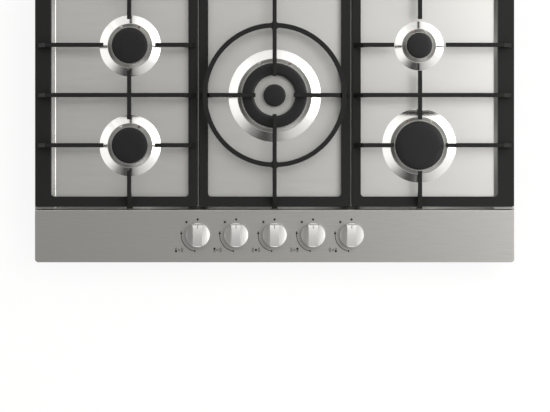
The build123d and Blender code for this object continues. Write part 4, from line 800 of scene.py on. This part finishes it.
class CooktopMarks(bpy.types.Operator):
    """Printed marks: off dot, spark, flames, arc and burner plan for every knob"""

    bl_idname = "cooktop.marks"
    bl_label = "Printed marks"

    def execute(self, context):
        sizes, colours = context.scene.cooktop_sizes, context.scene.cooktop_colours
        ink = screen_ink(colours)
        thick, line = sizes.ink_thickness, sizes.line_width
        height = thick + INK_ROOT
        for number in KNOBS:
            middle = middle_of("knob_%d" % number)
            x, y = middle.x, middle.y
            parts = [raised(flat_disc(x, y + OFF_DOT_AT, OFF_DOT_RADIUS), height)]

            turn = math.radians(90 + SPARK_TURN)
            spark = flat_disc(
                x + SPARK_AT * math.cos(turn),
                y + SPARK_AT * math.sin(turn),
                SPARK_RADIUS,
                SPARK_CORNERS,
            )
            corners = [vertex.co for vertex in spark.data.vertices]
            centre = sum(corners, Vector()) / SPARK_CORNERS
            work_on(spark, "EDIT")
            pick(spark, "VERT", lambda v: v.index % 2)
            bpy.ops.transform.resize(
                value=(SPARK_WAIST, SPARK_WAIST, 1), center_override=centre
            )
            parts.append(raised(spark, height))

            for degrees, size in FLAMES:
                turn = math.radians(90 + degrees)
                flame_x = x + FLAME_AT * math.cos(turn)
                flame_y = y + FLAME_AT * math.sin(turn)
                flame = flat_disc(flame_x, flame_y, FLAME_RADIUS * size, FLAME_CORNERS)
                work_on(flame, "EDIT")
                tip_y = flame_y + FLAME_TIP * size
                pick(flame, "VERT", lambda v: v.co.y > tip_y)
                bpy.ops.transform.translate(value=(0, FLAME_RADIUS * size, 0))
                parts.append(raised(flame, height))

            parts.append(arc_line(x, y, ARC_RADIUS, 90 + ARC_TURN, ARC_SWEEP, line, thick))
            for spot, (column, row) in PLAN_SPOTS.items():
                dot_x = x + PLAN_PLACE.x + PLAN_PITCH.x * column
                dot_y = y + PLAN_PLACE.y + PLAN_PITCH.y * row
                if spot == number:
                    mark = raised(flat_disc(dot_x, dot_y, PLAN_DOT_RADIUS), height)
                else:
                    mark = arc_line(
                        dot_x, dot_y, PLAN_RING_RADIUS, 0, 360, line * PLAN_RING_WEIGHT,
                        thick, PLAN_RING_STEPS,
                    )
                parts.append(mark)
            piece = joined(parts, "printed_marks_%d" % number)
            hand_over(piece, "root", ink)
        return {"FINISHED"}


# Every electrode stands within this distance of its own burner's middle.
ELECTRODE_REACH = 75 * MM
# How far the pin stands out of the sleeve, and how far it reaches into it.
PIN_HEIGHT = 6.5 * MM
PIN_ROOT = 1 * MM
# The ribbed sleeve in mm: radius and height over its foot, then under its shoulder.
SLEEVE_FOOT = ((1.6, 0.0), (2.2, 0.6))
SLEEVE_PROFILE = (
    (2.2, -6.0), (1.8, -5.4), (1.8, -4.8), (2.15, -4.2), (2.15, -3.4), (1.8, -2.8),
    (1.8, -2.2), (2.1, -1.6), (1.9, -0.4), (1.3, 0.0),
)
# The pin in mm: radius and height under its tip.
PIN_PROFILE = ((0.75, -1.2), (0.9, -0.9), (0.9, -0.3), (0.6, 0.0))
PIN_RADIUS = 0.75 * MM


class CooktopElectrodes(bpy.types.Operator):
    """Spark electrodes: a ribbed glazed sleeve with a metal pin"""

    bl_idname = "cooktop.electrodes"
    bl_label = "Spark electrodes"

    def execute(self, context):
        low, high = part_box("spark_electrodes")
        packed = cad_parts["spark_electrodes"].data
        shoulder = high.z - PIN_HEIGHT
        sleeves, pins = [], []
        for place in BURNERS:
            crown = middle_of("burner_crown_" + place)
            near = [
                v.co
                for v in packed.vertices
                if (v.co - crown).xy.length < ELECTRODE_REACH
                and v.co.z > shoulder + PIN_ROOT
            ]
            tip = sum(near, Vector()) / len(near)
            sleeve = [(r * MM, low.z + z * MM) for r, z in SLEEVE_FOOT]
            sleeve += [(r * MM, shoulder + z * MM) for r, z in SLEEVE_PROFILE]
            sleeves.append(turned_piece("sleeve", tip.x, tip.y, sleeve, 24))
            pin = [(PIN_RADIUS, shoulder - PIN_ROOT)]
            pin += [(r * MM, high.z + z * MM) for r, z in PIN_PROFILE]
            pins.append(turned_piece("pin", tip.x, tip.y, pin, 16))
        glazed = joined(sleeves, "electrode_sleeves")
        smooth(glazed, 50)
        hand_over(
            glazed, "root", plain_finish("glazed_alumina"),
            ["spark_electrodes"],
        )
        metal = joined(pins, "electrode_pins")
        smooth(metal, 40)
        hand_over(metal, "root", plain_finish("nickel_alloy"))
        return {"FINISHED"}


class CooktopSeal(bpy.types.Operator):
    """Worktop seal: a foam strip with rounded corners along its length"""

    bl_idname = "cooktop.seal"
    bl_label = "Worktop seal"

    def execute(self, context):
        edge = context.scene.cooktop_sizes.seal_edge
        piece = copy_of("worktop_seal", "foam_seal")
        round_edges(piece, edge, 3, lambda e: edge_angle(e) > SEAL_BEND)
        smooth(piece, 40, weighted=True)
        hand_over(
            piece, "root", plain_finish("expanded_rubber"), ["worktop_seal"]
        )
        return {"FINISHED"}


SPRING_TURNS = 3
SPRING_STEPS = 32
WIRE_CORNERS = 12


class CooktopSprings(bpy.types.Operator):
    """Coil springs of the taps, carried on the taps' plugs"""

    bl_idname = "cooktop.springs"
    bl_label = "Tap springs"

    def execute(self, context):
        wire = context.scene.cooktop_sizes.spring_wire / 2
        for number in KNOBS:
            node = "tap_spring_%d" % number
            low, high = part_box(node)
            middle = (low + high) / 2
            clear_selection()
            bpy.ops.mesh.primitive_circle_add(
                vertices=WIRE_CORNERS,
                radius=wire,
                location=((high.x - low.x) / 2 - wire, 0, 0),
                rotation=(math.radians(90), 0, 0),
            )
            piece = bpy.context.object
            piece.name = "coil_spring_%d" % number
            settle(piece)
            bpy.ops.object.modifier_add(type="SCREW")
            coil = piece.modifiers[-1]
            coil.angle = math.radians(360 * SPRING_TURNS)
            coil.screw_offset = high.z - low.z - 2 * wire
            coil.steps = coil.render_steps = SPRING_TURNS * SPRING_STEPS
            bpy.ops.object.modifier_apply(modifier=coil.name)
            work_on(piece, "EDIT")
            bpy.ops.mesh.select_all(action="SELECT")
            bpy.ops.mesh.fill_holes(sides=WIRE_CORNERS)
            face_outwards()
            clear_selection()
            piece.location = (middle.x, middle.y, low.z + wire)
            settle(piece)
            smooth(piece, 50)
            steel = plain_finish("spring_wire")
            hand_over(piece, "tap_plug_%d" % number, steel, [node])
            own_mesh(piece)
        return {"FINISHED"}


class CooktopInside(bpy.types.Operator):
    """Finishes of the box, taps, pipes, screws, gaskets and crowns, which keep their shape"""

    bl_idname = "cooktop.inside"
    bl_label = "Box and inner parts"

    def execute(self, context):
        colours = context.scene.cooktop_colours
        special = {
            "galvanised_sheet": galvanised_sheet,
            "turned_brass": turned_brass,
            "tumbled_die_cast_aluminium": die_cast_aluminium,
        }
        for name, nodes in CARRIED_NODES.items():
            material = special[name](colours) if name in special else plain_finish(name)
            for node in nodes:
                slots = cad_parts[node].data.materials
                slots.clear()
                slots.append(material)
        return {"FINISHED"}


# The studio's brightness by direction: a place from 0, towards the minus side of the axis, to
# 1, towards its plus side, and a level. Along X there is a lit wall on each side, it is dark
# low on the left, and overhead the light falls from right to left.
SKY_ACROSS = (
    (0.00, 0.05), (0.09, 0.07), (0.15, 0.90), (0.23, 1.00), (0.33, 0.30), (0.41, 0.05),
    (0.46, 0.05), (0.53, 0.34), (0.60, 0.60), (0.67, 0.72), (0.77, 0.95), (0.88, 0.72),
    (1.00, 0.54),
)
# Along Y, the share of that which is left.
SKY_ALONG = ((0.20, 0.50), (0.50, 0.61), (1.00, 0.66))
# Along Y, a lit band high behind the object.
SKY_REAR = (
    (0.00, 0.00), (0.56, 0.00), (0.61, 0.54), (0.67, 0.54), (0.75, 0.24), (1.00, 0.04),
)
SKY_STRENGTH = 2.4
FLOOR_SIZE = 14
# The floor lies just under the box, so that their faces don't meet.
FLOOR_DROP = 0.2 * MM
# How much of the floor's look is plain white to the camera and in reflections.
FLOOR_WHITE = 0.87
# Name, place, breadth and depth in m, and power in W; each faces the middle of the cooktop.
LAMPS = (
    ("key_right", (1.5, 0.4, 2.1), (1.8, 1.6), 31.0),
    ("strip_rear", (0.0, 1.6, 2.3), (3.2, 1.3), 9.0),
    ("low_front_right", (0.9, -1.9, 0.8), (1.8, 0.7), 11.0),
)
CAMERA_TARGET = Vector((0.0007, -0.154, STRIP_TOP))
CAMERA_DISTANCE = 6.0
# What the picture's width covers at the control strip, in m.
PICTURE_WIDTH = 0.9867
SENSOR_MM = 36.0


def studio_world():
    """A soft studio by direction, and plain white where the camera looks past the object."""
    world = bpy.data.worlds.new("studio_world")
    world.use_nodes = True
    tree = world.node_tree
    tree.nodes.clear()
    direction = add_node(tree, "ShaderNodeTexCoord").outputs["Generated"]
    side = add_node(tree, "ShaderNodeSeparateXYZ", None, {"Vector": direction})
    levels = []
    for letter, plan in (("X", SKY_ACROSS), ("Y", SKY_ALONG), ("Y", SKY_REAR)):
        place = add_node(
            tree,
            "ShaderNodeMapRange",
            None,
            {"Value": side.outputs[letter], "From Min": -1.0, "From Max": 1.0},
        ).outputs["Result"]
        ramp = add_node(tree, "ShaderNodeValToRGB", None, {"Fac": place})
        stops = ramp.color_ramp.elements
        for stop, (position, level) in zip(stops, (plan[0], plan[-1])):
            stop.position, stop.color = position, (level, level, level, 1)
        for position, level in plan[1:-1]:
            stops.new(position).color = (level, level, level, 1)
        levels.append(ramp.outputs["Color"])
    walls = add_node(
        tree, "ShaderNodeMath", {"operation": "MULTIPLY"}, {0: levels[0], 1: levels[1]}
    ).outputs[0]
    glow = add_node(
        tree, "ShaderNodeMath", {"operation": "MAXIMUM"}, {0: walls, 1: levels[2]}
    ).outputs[0]
    soft = add_node(
        tree, "ShaderNodeBackground", None, {"Color": glow, "Strength": SKY_STRENGTH}
    )
    white = add_node(
        tree, "ShaderNodeBackground", None, {"Color": (1, 1, 1, 1), "Strength": 1.0}
    )
    seen = add_node(tree, "ShaderNodeLightPath").outputs["Is Camera Ray"]
    mixed = add_node(
        tree,
        "ShaderNodeMixShader",
        None,
        {0: seen, 1: soft.outputs["Background"], 2: white.outputs["Background"]},
    )
    add_node(tree, "ShaderNodeOutputWorld", None, {"Surface": mixed.outputs["Shader"]})
    return world


def pale_floor(colours):
    """Matt floor paint, lifted towards white where the camera or a gloss ray sees it."""
    material = finish("matt_floor_paint", colours.floor, "#EAE9E7", 40.0, (0.8, 0.9))
    tree = material.node_tree
    output = tree.nodes["Material Output"]
    painted = output.inputs["Surface"].links[0].from_socket
    path = add_node(tree, "ShaderNodeLightPath")
    seen = add_node(
        tree,
        "ShaderNodeMath",
        {"operation": "MAXIMUM"},
        {0: path.outputs["Is Camera Ray"], 1: path.outputs["Is Glossy Ray"]},
    ).outputs[0]
    share = add_node(
        tree, "ShaderNodeMath", {"operation": "MULTIPLY"}, {0: seen, 1: FLOOR_WHITE}
    ).outputs[0]
    white = add_node(
        tree, "ShaderNodeEmission", None, {"Color": (1, 1, 1, 1), "Strength": 1.0}
    ).outputs["Emission"]
    mixed = add_node(tree, "ShaderNodeMixShader", None, {0: share, 1: painted, 2: white})
    tree.links.new(mixed.outputs["Shader"], output.inputs["Surface"])
    return material


class CooktopStage(bpy.types.Operator):
    """Pale floor, soft studio light and a camera straight above the control side"""

    bl_idname = "cooktop.stage"
    bl_label = "Studio"

    def execute(self, context):
        colours = context.scene.cooktop_colours
        clear_selection()
        bpy.ops.mesh.primitive_plane_add(size=FLOOR_SIZE, location=(0, 0, -FLOOR_DROP))
        floor = bpy.context.object
        floor.name = "studio_floor"
        floor.data.materials.append(pale_floor(colours))
        for name, place, size, power in LAMPS:
            clear_selection()
            bpy.ops.object.light_add(type="AREA", location=place)
            lamp = bpy.context.object
            lamp.name = name
            lamp.data.shape = "RECTANGLE"
            lamp.data.size, lamp.data.size_y = size
            lamp.data.energy = power
            lamp.rotation_euler = (-Vector(place)).to_track_quat("-Z", "Y").to_euler()
        context.scene.world = studio_world()
        clear_selection()
        above = CAMERA_TARGET + Vector((0, 0, CAMERA_DISTANCE))
        bpy.ops.object.camera_add(location=above, rotation=(0, 0, 0))
        camera = bpy.context.object
        camera.name = "overhead_camera"
        camera.data.sensor_width = SENSOR_MM
        camera.data.lens = SENSOR_MM * CAMERA_DISTANCE / PICTURE_WIDTH
        context.scene.camera = camera
        context.scene.view_settings.view_transform = "Standard"
        return {"FINISHED"}


class CooktopSidebar(bpy.types.Panel):
    """Lists the cooktop's pieces, sizes and colours"""

    bl_idname = "VIEW3D_PT_cooktop"
    bl_label = "Cooktop"
    bl_space_type = "VIEW_3D"
    bl_region_type = "UI"
    bl_category = "Cooktop"

    def draw(self, context):
        for operator in OPERATORS:
            self.layout.operator(operator.bl_idname)
        for group in (context.scene.cooktop_sizes, context.scene.cooktop_colours):
            for name in group.bl_rna.properties.keys():
                if name not in ("rna_type", "name"):
                    self.layout.prop(group, name)


OPERATORS = (
    CooktopPanel,
    CooktopGrates,
    CooktopCaps,
    CooktopKnobs,
    CooktopMarks,
    CooktopElectrodes,
    CooktopSeal,
    CooktopSprings,
    CooktopInside,
    CooktopStage,
)
CLASSES = (CooktopSizes, CooktopColours, *OPERATORS, CooktopSidebar)


def register():
    """Adds the classes and the scene's settings."""
    for item in CLASSES:
        bpy.utils.register_class(item)
    bpy.types.Scene.cooktop_sizes = PointerProperty(type=CooktopSizes)
    bpy.types.Scene.cooktop_colours = PointerProperty(type=CooktopColours)


def unregister():
    """Takes them out again."""
    del bpy.types.Scene.cooktop_colours
    del bpy.types.Scene.cooktop_sizes
    for item in reversed(CLASSES):
        bpy.utils.unregister_class(item)


def main():
    """Builds all pieces and the stage."""
    register()
    bpy.ops.cooktop.panel()
    bpy.ops.cooktop.grates()
    bpy.ops.cooktop.caps()
    bpy.ops.cooktop.knobs()
    bpy.ops.cooktop.marks()
    bpy.ops.cooktop.electrodes()
    bpy.ops.cooktop.seal()
    bpy.ops.cooktop.springs()
    bpy.ops.cooktop.inside()
    bpy.ops.cooktop.stage()


if __name__ == "__main__":
    main()
